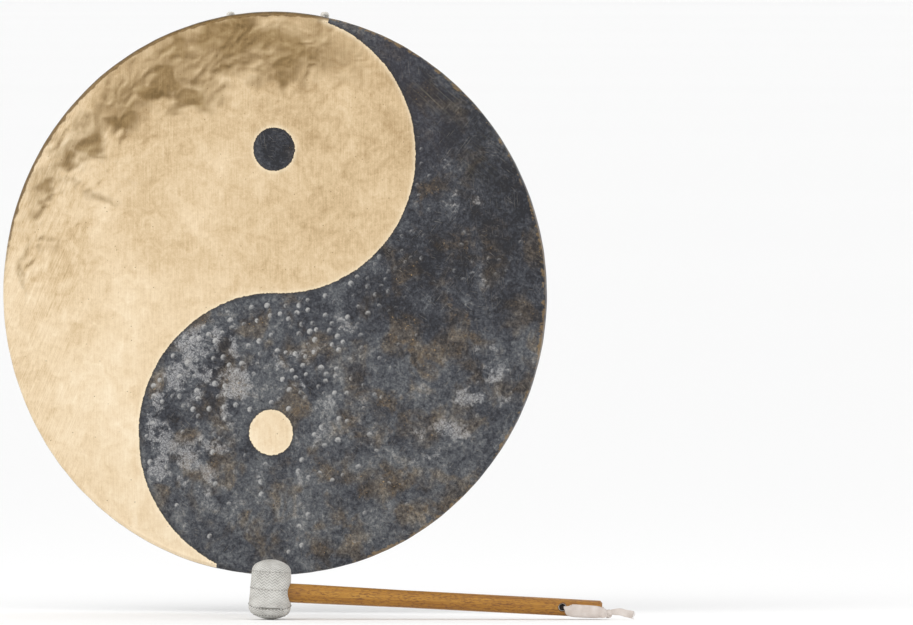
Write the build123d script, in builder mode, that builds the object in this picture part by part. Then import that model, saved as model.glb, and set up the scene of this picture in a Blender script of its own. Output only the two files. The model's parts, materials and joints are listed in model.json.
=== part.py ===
from build123d import *
import os
from math import asin, atan2, cos, degrees, pi, radians, sin, sqrt, tan

# Hanging tam tam with its cord, and its beater standing on the floor in front of it.
# Millimetres, +Z up, the gong faces -Y, so +Y is towards the back.
# The origin is midway between the two hanging holes in the rim.

# ---------------------------------------------------------------- gong
GONG_R = 304.8           # outer radius over the rim's shoulder
PLATE = 1.8              # plate thickness
RIM_DEPTH = 25.0         # from the face's edge to the rear edge of the rim
SHOULDER = 5.0           # outer radius between face and rim
RIM_SLOPE = radians(10)  # the rim leans inwards by this angle
HOLE_DEPTH = 13.0        # holes' distance behind the face's edge
HOLE_R = 3.0
HOLE_CUT = 14.0          # length of the drilling cylinder
HOLE_DROP = 298.0        # gong centre below the hanging holes
SCRAPE = 0.25            # depth of the scraped, bright area of the face

# The symbol: two tangent arcs, and a dot in each lobe.
# Each entry is x, z about the gong's centre, and radius.
LOBE_UP = (10.5, 151.0, 150.6)
LOBE_LOW = (4.4, -153.8, 154.3)
DOT_UP = (2.3, 156.0, 23.5)
DOT_LOW = (-1.1, -150.4, 24.4)
MASK_HALF = 330.0        # half size of the dark area's mask, beyond the gong's edge
MASK_Y = -40.0           # the mask starts in front of the face
MASK_DEPTH = 60.0

# ---------------------------------------------------------------- cord
# Radii here are distances from the gong's axis, on the ray through a hanging hole.
CORD_R = 2.5
CORD_TAIL_AT = 283.0     # loose end, inside the rim
CORD_KNOT_AT = 295.8     # knot, inside the rim
CORD_RUN_AT = 306.5      # the cord runs back over the rim here
CORD_BEND_R = 4.0        # bend from the hole to that run
CORD_RUN_END = 26.4      # the run's end behind the face's edge
CORD_GAP = 0.1           # between the run's rounded end and the loop
KNOT_R = 5.6
LOOP_HALF_END = 38.0     # half width of the loop where its bend begins
LOOP_LEG = 163.7         # height of the straight legs

# ---------------------------------------------------------------- beater's place
FLOOR_GAP = 41.0         # the gong's lowest point above the floor
MALLET_X = 57.0          # the head stands this far right of the gong's middle
MALLET_Y = -220.0        # and this far in front of the holes
LEAN = radians(3.0)      # the shaft falls towards its grip end
TURN = radians(15.4)     # and its grip end lies back towards the gong

# ---------------------------------------------------------------- shaft
# Places along the shaft are measured from the head's axis.
TENON_R = 7.0
TENON_TIP = -11.0
TENON_CHAMFER = 0.6
SHAFT_START = 13.6       # shoulder where the tenon meets the full shaft
TAPER_FROM = 40.0
GRIP_FROM, GRIP_TO = 145.0, 299.0
SHAFT_END = 355.8
SHAFT_R_HEAD = 10.2
SHAFT_R_GRIP = 9.3
SHAFT_R_END = 9.1
END_CHAMFER = 2.2
STRAP_HOLE_AT = 313.3
STRAP_HOLE_R = 4.0
CUT_THROUGH = 40.0       # length of a cylinder that cuts right through the shaft

# ---------------------------------------------------------------- head
# Heights are measured along the head's own axis, from the shaft's axis.
HEAD_TOP, HEAD_LOW = 34.7, -29.5
CORE_R = 13.5
CORE_TOP, CORE_LOW = 20.0, -18.0
CORE_CHAMFER = 1.0
BORE_FROM, BORE_TO = -11.2, 14.0             # tenon's bore, along the shaft
TENON_PLAY = 0.05
DOWEL_R = 2.0
DOWEL_HOLE_R = 2.03
DOWEL_LOW, DOWEL_TOP = -17.0, 14.0
DOWEL_HOLE_LOW, DOWEL_HOLE_TOP = -20.1, 14.1
DOWEL_CHAMFER = 0.4

FELT_R = 19.6
FELT_GAP = 0.1
FELT_CUT_AT, FELT_CUT = 20.0, 26.0           # shaft opening: middle and length

CLOTH = 1.1
SEAM_UPPER = (21.8, 0.0)       # height at the axis, dip towards the front in degrees
SEAM_MIDDLE = (4.0, 4.0)
SEAM_LOWER = (-12.2, 13.5)
MIDDLE_GAP = 0.05              # cloth's distance either side of the middle seam
SLEEVE_R_LOW, SLEEVE_R_TOP = 21.6, 20.9
SLEEVE_END = -16.8             # its lower edge, inside the lower cap
SLEEVE_PLAY, CAP_PLAY = 0.15, 0.4            # clearance round the shaft
COVER_CUT_AT, COVER_CUT = 25.0, 20.0         # shaft opening: middle and length
CAP_GAP = 0.1                  # upper cap's distance above the sleeve
TOP_CORNER, LOW_CORNER = 9.5, 8.5
LOW_R, LOW_V = 22.7, -17.0     # where the lower cap's side turns into its end

STITCH_R, STITCH_L = 0.35, 1.9
STITCH_LIFT = STITCH_R + 0.08  # stitch axis above the cloth
BASE_RING_R = 17.0             # ring of stitches on the head's lower end
BASE_STITCHES = 30

# ---------------------------------------------------------------- wrist strap
TAPE_IN, TAPE_OUT = 9.42, 10.55              # radii of the legs along the shaft
TAPE_HIGH, TAPE_LOW = radians(23), radians(-58)   # edges of each leg round the shaft
TAPE_FROM = STRAP_HOLE_AT - 4.5
TAPE_PAST_END = 1.4
STRAP_PIN_R = 3.0                            # strap inside the shaft's hole
STRAP_PIN_BITE = 0.5
END_BAND = (19.6, 11.0, 1.3)                 # width, height, thickness
END_BAND_V = -2.2
END_BAND_GAP = 0.3
STRAP_KNOT_AT = 363.0
STRAP_KNOT_V = -4.2
STRAP_KNOT_R = 6.2
TAIL_LEN, TAIL_W, TAIL_T = 17.0, 8.4, 1.4
TAIL_FORWARD, TAIL_RISE = 11.0, 3.4          # tail's rounded start from the knot's centre
TAIL_CLEAR = 0.5                             # allowance above the floor

CENTRE_Z = -HOLE_DROP
FLOOR = CENTRE_Z - GONG_R - FLOOR_GAP
os.makedirs("parts", exist_ok=True)


def save(part, name):
    part.label = name
    export_step(part, f"parts/{name}.step")


# ================================================================ gong
# The profiles are drawn in a plane through the gong's axis: x is the radius,
# y runs from the face backwards.
AXIAL = Plane(origin=(0, 0, CENTRE_Z), x_dir=(1, 0, 0), z_dir=(0, 0, 1))
MASK = Plane(origin=(0, MASK_Y, CENTRE_Z), x_dir=(1, 0, 0), z_dir=(0, -1, 0))
GONG_AXIS = Axis((0, 0, CENTRE_Z), (0, 1, 0))


def back_y(back):
    """The y of a point this far behind the edge of the face."""
    return back - HOLE_DEPTH


def skin(depth):
    """Corner points of the surface that lies this deep under the outer one."""
    arc_r = SHOULDER - depth
    arc_x = GONG_R - SHOULDER

    def on_shoulder(angle):
        return (arc_x + arc_r * cos(angle), back_y(SHOULDER + arc_r * sin(angle)))

    end = on_shoulder(RIM_SLOPE)
    rear_x = end[0] - (back_y(RIM_DEPTH) - end[1]) * tan(RIM_SLOPE)
    return {
        "middle": (0.0, back_y(depth)),
        "start": (arc_x, back_y(depth)),
        "quarter": on_shoulder(-pi / 4),
        "side": on_shoulder(0),
        "turn": on_shoulder((RIM_SLOPE - pi / 2) / 2),
        "end": end,
        "rear": (rear_x, back_y(RIM_DEPTH)),
    }


OUTER, INNER, SCRAPED = skin(0.0), skin(PLATE), skin(SCRAPE)

# radius of each hanging hole's centre, in the middle of the plate (holes lie at y = 0),
# and its angle from the vertical
HOLE_AT = OUTER["end"][0] + OUTER["end"][1] * tan(RIM_SLOPE) - PLATE / 2 / cos(RIM_SLOPE)
HOLE_ANGLE = atan2(sqrt(HOLE_AT**2 - HOLE_DROP**2), HOLE_DROP)


def on_rim(side, radius, y):
    """A point on the ray from the gong's centre through one hanging hole."""
    return Vector(side * radius * sin(HOLE_ANGLE), y, CENTRE_Z + radius * cos(HOLE_ANGLE))


def scraped_layer():
    """The thin layer scraped off the bright side of the face."""
    up_x, up_z, up_r = LOBE_UP
    low_x, low_z, low_r = LOBE_LOW
    spacing = sqrt((low_x - up_x) ** 2 + (low_z - up_z) ** 2)
    join = (up_x + (low_x - up_x) / spacing * up_r, up_z + (low_z - up_z) / spacing * up_r)
    top = (up_x, up_z + up_r)
    bottom = (low_x, low_z - low_r)
    with BuildPart() as layer:
        with BuildSketch(AXIAL):
            with BuildLine():
                Line(OUTER["middle"], OUTER["start"])
                ThreePointArc(OUTER["start"], OUTER["quarter"], OUTER["side"])
                Line(OUTER["side"], SCRAPED["side"])
                ThreePointArc(SCRAPED["side"], SCRAPED["quarter"], SCRAPED["start"])
                Line(SCRAPED["start"], SCRAPED["middle"])
                Line(SCRAPED["middle"], OUTER["middle"])
            make_face()
        revolve(axis=GONG_AXIS)
        # the dark side lies right of the S made by the two arcs, and keeps its skin
        with BuildSketch(MASK):
            with BuildLine():
                ThreePointArc(top, (up_x + up_r, up_z), join)
                ThreePointArc(join, (low_x - low_r, low_z), bottom)
                Polyline(
                    bottom, (low_x, -MASK_HALF), (MASK_HALF, -MASK_HALF),
                    (MASK_HALF, MASK_HALF), (up_x, MASK_HALF), top,
                )
            make_face()
            with Locations(DOT_LOW[:2]):
                Circle(DOT_LOW[2], mode=Mode.SUBTRACT)
            with Locations(DOT_UP[:2]):
                Circle(DOT_UP[2])
        extrude(amount=-MASK_DEPTH, mode=Mode.SUBTRACT)
    return layer.part


def gong_disc():
    layer = scraped_layer()
    centre = Vector(0, 0, CENTRE_Z)
    holes = [
        Plane(origin=on_rim(side, HOLE_AT, 0), z_dir=on_rim(side, 1, 0) - centre)
        for side in (-1, 1)
    ]
    with BuildPart() as disc:
        with BuildSketch(AXIAL):
            with BuildLine():
                Line(OUTER["middle"], OUTER["start"])
                ThreePointArc(OUTER["start"], OUTER["turn"], OUTER["end"])
                Line(OUTER["end"], OUTER["rear"])
                Line(OUTER["rear"], INNER["rear"])
                Line(INNER["rear"], INNER["end"])
                ThreePointArc(INNER["end"], INNER["turn"], INNER["start"])
                Line(INNER["start"], INNER["middle"])
                Line(INNER["middle"], OUTER["middle"])
            make_face()
        revolve(axis=GONG_AXIS)
        # two hanging holes, drilled towards the centre
        with Locations(*holes):
            Cylinder(HOLE_R, HOLE_CUT, mode=Mode.SUBTRACT)
        add(layer, mode=Mode.SUBTRACT)
    save(disc.part, "gong_disc")


# ================================================================ cord
RUN_END_Y = back_y(CORD_RUN_END)
LOOP_Y = RUN_END_Y + 2 * CORD_R + CORD_GAP


def cord_knots():
    """Each end: tail, knot inside the rim, then out through the hole and back over the rim."""
    bend_start = CORD_RUN_AT - CORD_BEND_R
    bend_mid = CORD_BEND_R * sin(pi / 4)
    with BuildPart() as knots:
        for side in (-1, 1):
            with BuildLine() as run:
                Line(on_rim(side, CORD_TAIL_AT, 0), on_rim(side, bend_start, 0))
                ThreePointArc(
                    on_rim(side, bend_start, 0),
                    on_rim(side, bend_start + bend_mid, CORD_BEND_R - bend_mid),
                    on_rim(side, CORD_RUN_AT, CORD_BEND_R),
                )
                Line(
                    on_rim(side, CORD_RUN_AT, CORD_BEND_R),
                    on_rim(side, CORD_RUN_AT, RUN_END_Y),
                )
            with BuildSketch(Plane(origin=run.line @ 0, z_dir=run.line % 0)):
                Circle(CORD_R)
            sweep(path=run.line)
            with Locations(on_rim(side, CORD_KNOT_AT, 0)):
                Sphere(KNOT_R)
            with Locations(on_rim(side, CORD_RUN_AT, RUN_END_Y)):
                Sphere(CORD_R)
    save(knots.part, "cord_knots")


def hanging_cord():
    """The loop, folded down behind the gong."""
    top = on_rim(1, CORD_RUN_AT, LOOP_Y)
    leg_dx = top.X - LOOP_HALF_END
    leg_len = sqrt(leg_dx**2 + LOOP_LEG**2)
    leg_end_z = top.Z - LOOP_LEG
    # the bend is tangent to both legs
    bend_r = LOOP_HALF_END / (LOOP_LEG / leg_len)
    lowest_z = leg_end_z + bend_r * leg_dx / leg_len - bend_r
    left_top, right_top = (-top.X, LOOP_Y, top.Z), (top.X, LOOP_Y, top.Z)
    left_end = (-LOOP_HALF_END, LOOP_Y, leg_end_z)
    right_end = (LOOP_HALF_END, LOOP_Y, leg_end_z)
    with BuildPart() as cord:
        with BuildLine() as loop:
            Line(left_top, left_end)
            ThreePointArc(left_end, (0, LOOP_Y, lowest_z), right_end)
            Line(right_end, right_top)
        with BuildSketch(Plane(origin=loop.line @ 0, z_dir=loop.line % 0)):
            Circle(CORD_R)
        sweep(path=loop.line)
        with Locations(left_top, right_top):
            Sphere(CORD_R)
    save(cord.part, "hanging_cord")


# ================================================================ beater frame
# The head stands on its lower cap; the strap's knot holds up the grip end.
# ALONG runs down the shaft to its grip end, UP along the head's own axis, and
# SIDE is level and points backwards. FORWARD is ALONG made level.
FORWARD = Vector(cos(TURN), sin(TURN), 0)
ALONG = FORWARD * cos(LEAN) + Vector(0, 0, -sin(LEAN))
UP = FORWARD * sin(LEAN) + Vector(0, 0, cos(LEAN))
SIDE = Vector(-sin(TURN), cos(TURN), 0)


def rounded_end(side_r, side_v, apex_v, corner_r):
    """Rounded end of the head: a corner arc, tangent to the upright side at
    (side_r, side_v), and a flatter arc on to the apex. Gives the corner's middle,
    the joint between the arcs, the flatter arc's middle, and its centre and radius."""
    sign = 1 if apex_v > side_v else -1
    height, corner_x = abs(apex_v - side_v), side_r - corner_r
    centre_h = ((height - corner_r) ** 2 - corner_x**2) / (2 * (height - corner_r))
    flat_r = height - centre_h
    joint_angle = atan2(corner_x, -centre_h)

    def on_arc(x, h, radius, angle):
        return (x + radius * sin(angle), side_v + sign * (h + radius * cos(angle)))

    return (
        on_arc(corner_x, 0, corner_r, (joint_angle + pi / 2) / 2),
        on_arc(0, centre_h, flat_r, joint_angle),
        on_arc(0, centre_h, flat_r, joint_angle / 2),
        side_v + sign * centre_h,
        flat_r,
    )


# centre height and radius of the lower end, which touches the floor
BASE_V, BASE_R = rounded_end(LOW_R, LOW_V, HEAD_LOW, LOW_CORNER)[3:]
HEAD = Vector(MALLET_X, MALLET_Y, FLOOR + BASE_R - BASE_V * cos(LEAN))


def at(along, side, up):
    return HEAD + ALONG * along + SIDE * side + UP * up


def facing(direction, along=0, up=0):
    """A plane on the beater's middle, for a cylinder along the given direction."""
    return Plane(origin=at(along, 0, up), z_dir=direction)


def seam_plane(height, dip):
    """A plane across the head that drops towards the front by dip degrees."""
    angle = radians(dip)
    return Plane(
        origin=at(0, 0, height), x_dir=ALONG, z_dir=UP * cos(angle) - SIDE * sin(angle)
    )


PROFILE = Plane(origin=HEAD, x_dir=ALONG, z_dir=-SIDE)     # x is along, y is up
HEAD_AXIS = Axis(HEAD, UP)
SHAFT_AXIS = Axis(HEAD, ALONG)


# ================================================================ shaft and core
def mallet_shaft():
    with BuildPart() as shaft:
        with BuildSketch(PROFILE):
            with BuildLine():
                Polyline(
                    (TENON_TIP, 0),
                    (TENON_TIP, TENON_R - TENON_CHAMFER),
                    (TENON_TIP + TENON_CHAMFER, TENON_R),
                    (SHAFT_START, TENON_R),
                    (SHAFT_START, SHAFT_R_HEAD),
                    (TAPER_FROM, SHAFT_R_HEAD),
                    (GRIP_FROM, SHAFT_R_GRIP),
                    (GRIP_TO, SHAFT_R_GRIP),
                    (SHAFT_END - END_CHAMFER, SHAFT_R_END),
                    (SHAFT_END, SHAFT_R_END - END_CHAMFER),
                    (SHAFT_END, 0),
                    close=True,
                )
            make_face()
        revolve(axis=SHAFT_AXIS)
        with Locations(facing(SIDE, along=STRAP_HOLE_AT)):
            Cylinder(STRAP_HOLE_R, CUT_THROUGH, mode=Mode.SUBTRACT)
        with Locations(facing(UP)):
            Cylinder(DOWEL_HOLE_R, CUT_THROUGH, mode=Mode.SUBTRACT)
    save(shaft.part, "mallet_shaft")


def mallet_core():
    with BuildPart() as core:
        with BuildSketch(PROFILE):
            with BuildLine():
                Polyline(
                    (0, CORE_LOW),
                    (CORE_R - CORE_CHAMFER, CORE_LOW),
                    (CORE_R, CORE_LOW + CORE_CHAMFER),
                    (CORE_R, CORE_TOP - CORE_CHAMFER),
                    (CORE_R - CORE_CHAMFER, CORE_TOP),
                    (0, CORE_TOP),
                    close=True,
                )
            make_face()
        revolve(axis=HEAD_AXIS)
        with Locations(facing(ALONG, along=(BORE_FROM + BORE_TO) / 2)):
            Cylinder(TENON_R + TENON_PLAY, BORE_TO - BORE_FROM, mode=Mode.SUBTRACT)
        with Locations(facing(UP, up=(DOWEL_HOLE_LOW + DOWEL_HOLE_TOP) / 2)):
            Cylinder(DOWEL_HOLE_R, DOWEL_HOLE_TOP - DOWEL_HOLE_LOW, mode=Mode.SUBTRACT)
    save(core.part, "mallet_core")


def core_dowel():
    with BuildPart() as dowel:
        with Locations(facing(UP, up=(DOWEL_LOW + DOWEL_TOP) / 2)):
            Cylinder(DOWEL_R, DOWEL_TOP - DOWEL_LOW)
        chamfer(dowel.edges(), DOWEL_CHAMFER)
    save(dowel.part, "core_dowel")


# ================================================================ felt
def felt_wrap():
    wrap_in = CORE_R + FELT_GAP
    with BuildPart() as wrap:
        with BuildSketch(PROFILE):
            with Locations(((wrap_in + FELT_R) / 2, (CORE_TOP + CORE_LOW) / 2)):
                Rectangle(FELT_R - wrap_in, CORE_TOP - CORE_LOW)
        revolve(axis=HEAD_AXIS)
        with Locations(facing(ALONG, along=FELT_CUT_AT)):
            Cylinder(SHAFT_R_HEAD + FELT_GAP, FELT_CUT, mode=Mode.SUBTRACT)
    save(wrap.part, "felt_wrap")


def felt_pad(name, flat_v, side_r, side_v, apex_v, corner_r):
    """A pad from its flat side at the core to its rounded apex."""
    corner_mid, joint, flat_mid = rounded_end(side_r, side_v, apex_v, corner_r)[:3]
    with BuildPart() as pad:
        with BuildSketch(PROFILE):
            with BuildLine():
                Polyline((0, apex_v), (0, flat_v), (side_r, flat_v), (side_r, side_v))
                ThreePointArc((side_r, side_v), corner_mid, joint)
                ThreePointArc(joint, flat_mid, (0, apex_v))
            make_face()
        revolve(axis=HEAD_AXIS)
    save(pad.part, name)


# ================================================================ cloth cover
def sleeve_r(height):
    """Outer radius of the slightly tapered sleeve at this height."""
    rise = (height - SLEEVE_END) / (SEAM_UPPER[0] - SLEEVE_END)
    return SLEEVE_R_LOW + (SLEEVE_R_TOP - SLEEVE_R_LOW) * rise


def cover_sleeve(name, cut_v, keep):
    """The part of the sleeve on one side of the middle seam."""
    with BuildPart() as sleeve:
        with BuildSketch(PROFILE):
            with BuildLine():
                Polyline(
                    (SLEEVE_R_LOW - CLOTH, SLEEVE_END),
                    (SLEEVE_R_LOW, SLEEVE_END),
                    (SLEEVE_R_TOP, SEAM_UPPER[0]),
                    (SLEEVE_R_TOP - CLOTH, SEAM_UPPER[0]),
                    close=True,
                )
            make_face()
        revolve(axis=HEAD_AXIS)
        split(bisect_by=seam_plane(cut_v, SEAM_MIDDLE[1]), keep=keep)
        with Locations(facing(ALONG, along=COVER_CUT_AT)):
            Cylinder(SHAFT_R_HEAD + SLEEVE_PLAY, COVER_CUT, mode=Mode.SUBTRACT)
    save(sleeve.part, name)


def cover_cap_upper():
    edge_v = SEAM_UPPER[0] + CAP_GAP
    out_r, in_r = SLEEVE_R_TOP, SLEEVE_R_TOP - CLOTH
    in_top = HEAD_TOP - CLOTH
    out_corner, out_joint, out_flat = rounded_end(out_r, edge_v, HEAD_TOP, TOP_CORNER)[:3]
    in_corner, in_joint, in_flat = rounded_end(in_r, edge_v, in_top, TOP_CORNER - CLOTH)[:3]
    with BuildPart() as cap:
        with BuildSketch(PROFILE):
            with BuildLine():
                ThreePointArc((out_r, edge_v), out_corner, out_joint)
                ThreePointArc(out_joint, out_flat, (0, HEAD_TOP))
                Line((0, HEAD_TOP), (0, in_top))
                ThreePointArc((0, in_top), in_flat, in_joint)
                ThreePointArc(in_joint, in_corner, (in_r, edge_v))
                Line((in_r, edge_v), (out_r, edge_v))
            make_face()
        revolve(axis=HEAD_AXIS)
    save(cap.part, "cover_cap_upper")


def cover_cap_lower():
    in_r, in_low = LOW_R - CLOTH, HEAD_LOW + CLOTH
    out_corner, out_joint, out_flat = rounded_end(LOW_R, LOW_V, HEAD_LOW, LOW_CORNER)[:3]
    in_corner, in_joint, in_flat = rounded_end(in_r, LOW_V, in_low, LOW_CORNER - CLOTH)[:3]
    with BuildPart() as cap:
        with BuildSketch(PROFILE):
            with BuildLine():
                Polyline((in_r, LOW_V), (in_r, 0), (LOW_R, 0), (LOW_R, LOW_V))
                ThreePointArc((LOW_R, LOW_V), out_corner, out_joint)
                ThreePointArc(out_joint, out_flat, (0, HEAD_LOW))
                Line((0, HEAD_LOW), (0, in_low))
                ThreePointArc((0, in_low), in_flat, in_joint)
                ThreePointArc(in_joint, in_corner, (in_r, LOW_V))
            make_face()
        revolve(axis=HEAD_AXIS)
        split(bisect_by=seam_plane(*SEAM_LOWER), keep=Keep.BOTTOM)
        with Locations(facing(ALONG, along=COVER_CUT_AT)):
            Cylinder(SHAFT_R_HEAD + CAP_PLAY, COVER_CUT, mode=Mode.SUBTRACT)
    save(cap.part, "cover_cap_lower")


# ================================================================ stitches
def round_seam(height, dip, radius, count, skip=0.0):
    """Places for running stitches: each lies along the seam, just off the cloth.
    radius gives the cloth's radius at a height. skip leaves out the stitches
    this many degrees either side of the shaft."""
    places = []
    grade = tan(radians(dip))
    for i in range(count):
        angle = 2 * pi * (i + 0.5) / count
        if min(degrees(angle), 360 - degrees(angle)) < skip:
            continue
        stitch_v = height + radius(height) * sin(angle) * grade
        ring_r = radius(stitch_v) + STITCH_LIFT
        places.append(Plane(
            origin=at(ring_r * cos(angle), ring_r * sin(angle), stitch_v),
            z_dir=ALONG * (-sin(angle)) + SIDE * cos(angle) + UP * (cos(angle) * grade),
        ))
    return places


def base_ring():
    """Places for the stitches on the rounded end of the lower cap."""
    tilt = asin(BASE_RING_R / BASE_R)
    reach = BASE_R + STITCH_LIFT
    ring_r = reach * sin(tilt)
    places = []
    for i in range(BASE_STITCHES):
        angle = 2 * pi * i / BASE_STITCHES
        places.append(Plane(
            origin=at(ring_r * cos(angle), ring_r * sin(angle), BASE_V - reach * cos(tilt)),
            z_dir=ALONG * (-sin(angle)) + SIDE * cos(angle),
        ))
    return places


def stitches(name, places):
    with BuildPart() as row:
        with Locations(*places):
            Cylinder(STITCH_R, STITCH_L)
    save(row.part, name)


# ================================================================ wrist strap
def wrist_strap():
    """A flat tape goes through the hole in the shaft; both legs lie along the shaft,
    close round its end and are knotted there."""
    middle = (TAPE_HIGH + TAPE_LOW) / 2

    def on_leg(side, radius, angle):
        return (side * radius * cos(angle), radius * sin(angle))

    with BuildPart() as strap:
        # in these sketches x is SIDE and y is UP
        with BuildSketch(Plane(origin=at(TAPE_FROM, 0, 0), x_dir=SIDE, z_dir=ALONG)):
            for side in (-1, 1):
                out_high, out_mid, out_low = [
                    on_leg(side, TAPE_OUT, angle) for angle in (TAPE_HIGH, middle, TAPE_LOW)
                ]
                in_high, in_mid, in_low = [
                    on_leg(side, TAPE_IN, angle) for angle in (TAPE_HIGH, middle, TAPE_LOW)
                ]
                with BuildLine():
                    ThreePointArc(out_high, out_mid, out_low)
                    Line(out_low, in_low)
                    ThreePointArc(in_low, in_mid, in_high)
                    Line(in_high, out_high)
                make_face()
        extrude(amount=SHAFT_END + TAPE_PAST_END - TAPE_FROM)
        with Locations(facing(SIDE, along=STRAP_HOLE_AT)):
            Cylinder(STRAP_PIN_R, 2 * (TAPE_IN + STRAP_PIN_BITE))
        # round the end of the shaft
        band_w, band_h, band_t = END_BAND
        band_at = at(SHAFT_END + END_BAND_GAP, 0, 0)
        with BuildSketch(Plane(origin=band_at, x_dir=SIDE, z_dir=ALONG)):
            with Locations((0, END_BAND_V)):
                Rectangle(band_w, band_h)
        extrude(amount=band_t)
        with Locations(at(STRAP_KNOT_AT, 0, STRAP_KNOT_V)):
            Sphere(STRAP_KNOT_R)
    save(strap.part, "wrist_strap")


def strap_tail():
    """The loose end of the tape, on edge, sloping down to the floor at its tip."""
    knot = at(STRAP_KNOT_AT, 0, STRAP_KNOT_V)
    start = knot + FORWARD * TAIL_FORWARD + Vector(0, 0, TAIL_RISE)
    half_w = TAIL_W / 2
    fall = asin((start.Z - FLOOR - half_w - TAIL_CLEAR) / TAIL_LEN)
    flat_side = Plane(
        origin=start + SIDE * (TAIL_T / 2),
        x_dir=FORWARD * cos(fall) + Vector(0, 0, -sin(fall)),
        z_dir=-SIDE,
    )
    with BuildPart() as tail:
        with BuildSketch(flat_side):
            Circle(half_w)
            with BuildLine():
                # straight edges with an uneven, notched tip
                Polyline(
                    (0, -half_w), (TAIL_LEN - 1, -half_w),
                    (TAIL_LEN, -1.5), (TAIL_LEN - 0.8, 0.4), (TAIL_LEN + 1.6, half_w - 0.6),
                    (TAIL_LEN + 0.6, half_w), (0, half_w),
                    close=True,
                )
            make_face()
        extrude(amount=TAIL_T)
    save(tail.part, "strap_tail")


# ================================================================ build
gong_disc()
cord_knots()
hanging_cord()
mallet_shaft()
mallet_core()
core_dowel()
felt_wrap()
felt_pad("felt_pad_upper", flat_v=CORE_TOP + FELT_GAP, side_r=19.4, side_v=21.6,
         apex_v=33.4, corner_r=8.2)
felt_pad("felt_pad_lower", flat_v=CORE_LOW - FELT_GAP, side_r=20.2, side_v=-18.6,
         apex_v=-28.2, corner_r=5.5)
cover_sleeve("cover_sleeve_upper", SEAM_MIDDLE[0] + MIDDLE_GAP, Keep.TOP)
cover_sleeve("cover_sleeve_lower", SEAM_MIDDLE[0] - MIDDLE_GAP, Keep.BOTTOM)
cover_cap_upper()
cover_cap_lower()
# the upper and lower rows lie a little below their seams
stitches("stitches_upper", round_seam(SEAM_UPPER[0] - 0.6, SEAM_UPPER[1], sleeve_r, 36))
stitches("stitches_middle", round_seam(*SEAM_MIDDLE, sleeve_r, 36, skip=34))
stitches("stitches_lower",
         round_seam(SEAM_LOWER[0] - 1.3, SEAM_LOWER[1], lambda height: LOW_R, 38))
stitches("stitches_base", base_ring())
wrist_strap()
strap_tail()
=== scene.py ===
# A hammered bronze gong on a cord loop, with a beater whose cloth-covered head stands on the
# floor. Metres, +Z up. The gong's face looks towards -Y, and the origin is level with the two
# cord holes in its rim. Shapes are worked out in millimetres, the gong's about its own centre.
import json
import math
from functools import cache, reduce
from math import inf

import bmesh
import bpy
import numpy as np
from mathutils import Matrix, Vector
from mathutils.bvhtree import BVHTree
from mathutils.geometry import delaunay_2d_cdt


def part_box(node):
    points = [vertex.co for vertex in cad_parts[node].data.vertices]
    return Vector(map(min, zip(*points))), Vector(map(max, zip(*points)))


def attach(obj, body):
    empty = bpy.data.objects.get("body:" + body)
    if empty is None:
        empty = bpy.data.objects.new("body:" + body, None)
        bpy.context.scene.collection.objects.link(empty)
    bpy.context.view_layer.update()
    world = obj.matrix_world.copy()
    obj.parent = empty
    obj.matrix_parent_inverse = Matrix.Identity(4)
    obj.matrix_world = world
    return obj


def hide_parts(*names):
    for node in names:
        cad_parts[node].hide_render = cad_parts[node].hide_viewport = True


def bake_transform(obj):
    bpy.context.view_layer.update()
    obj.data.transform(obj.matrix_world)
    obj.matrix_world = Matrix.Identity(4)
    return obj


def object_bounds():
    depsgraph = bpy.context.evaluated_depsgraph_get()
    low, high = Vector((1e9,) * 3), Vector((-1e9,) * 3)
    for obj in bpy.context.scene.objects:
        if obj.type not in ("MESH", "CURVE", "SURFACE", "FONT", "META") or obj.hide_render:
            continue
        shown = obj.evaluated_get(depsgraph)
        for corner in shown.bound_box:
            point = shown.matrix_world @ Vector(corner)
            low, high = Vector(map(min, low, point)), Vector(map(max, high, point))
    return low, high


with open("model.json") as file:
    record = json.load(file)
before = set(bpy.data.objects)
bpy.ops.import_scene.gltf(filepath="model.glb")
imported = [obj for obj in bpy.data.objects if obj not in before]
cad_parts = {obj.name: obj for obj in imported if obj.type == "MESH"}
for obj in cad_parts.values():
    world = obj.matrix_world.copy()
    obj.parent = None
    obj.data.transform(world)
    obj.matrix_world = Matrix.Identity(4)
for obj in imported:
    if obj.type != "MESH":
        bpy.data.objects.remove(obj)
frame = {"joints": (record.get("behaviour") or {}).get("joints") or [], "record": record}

MM = 0.001
TAU = 2 * math.pi

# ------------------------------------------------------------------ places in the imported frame
CAD_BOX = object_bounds()
FLOOR = CAD_BOX[0][2]
FLOOR_MM = FLOOR * 1000
gong_low, gong_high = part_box("gong_disc")
CENTRE = Vector(((gong_low.x + gong_high.x) / 2, 0.0, (gong_low.z + gong_high.z) / 2))
RADIUS = (gong_high.x - gong_low.x) / 2 * 1000
FACE_Y = gong_low.y * 1000
REAR_Y = gong_high.y * 1000                      # the rear edge of the rim
joints = {joint["name"]: joint for joint in frame["joints"]}
cord_pivot = Vector(joints["cord_swing"]["pos_m"])
tail_pivot = Vector(joints["strap_tail_swing"]["pos_m"])

# ------------------------------------------------------------------ sizes of the gong, mm
SHOULDER = 5.0                                   # outer radius of the bend from face to rim
LEAN = math.tan(math.radians(10.0))              # the rim narrows towards the back
PLATE = 1.8
MID_PLATE = PLATE / 2
DEPTH = REAR_Y - FACE_Y
BEND_R = RADIUS - SHOULDER
FLAT_R = BEND_R - 0.3                            # the triangulated disc ends here
# circles of the face's drawing: x, z, radius
LOBE_UP = (10.5, 151.0, 150.6)
LOBE_LOW = (4.4, -153.8, 154.3)
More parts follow.
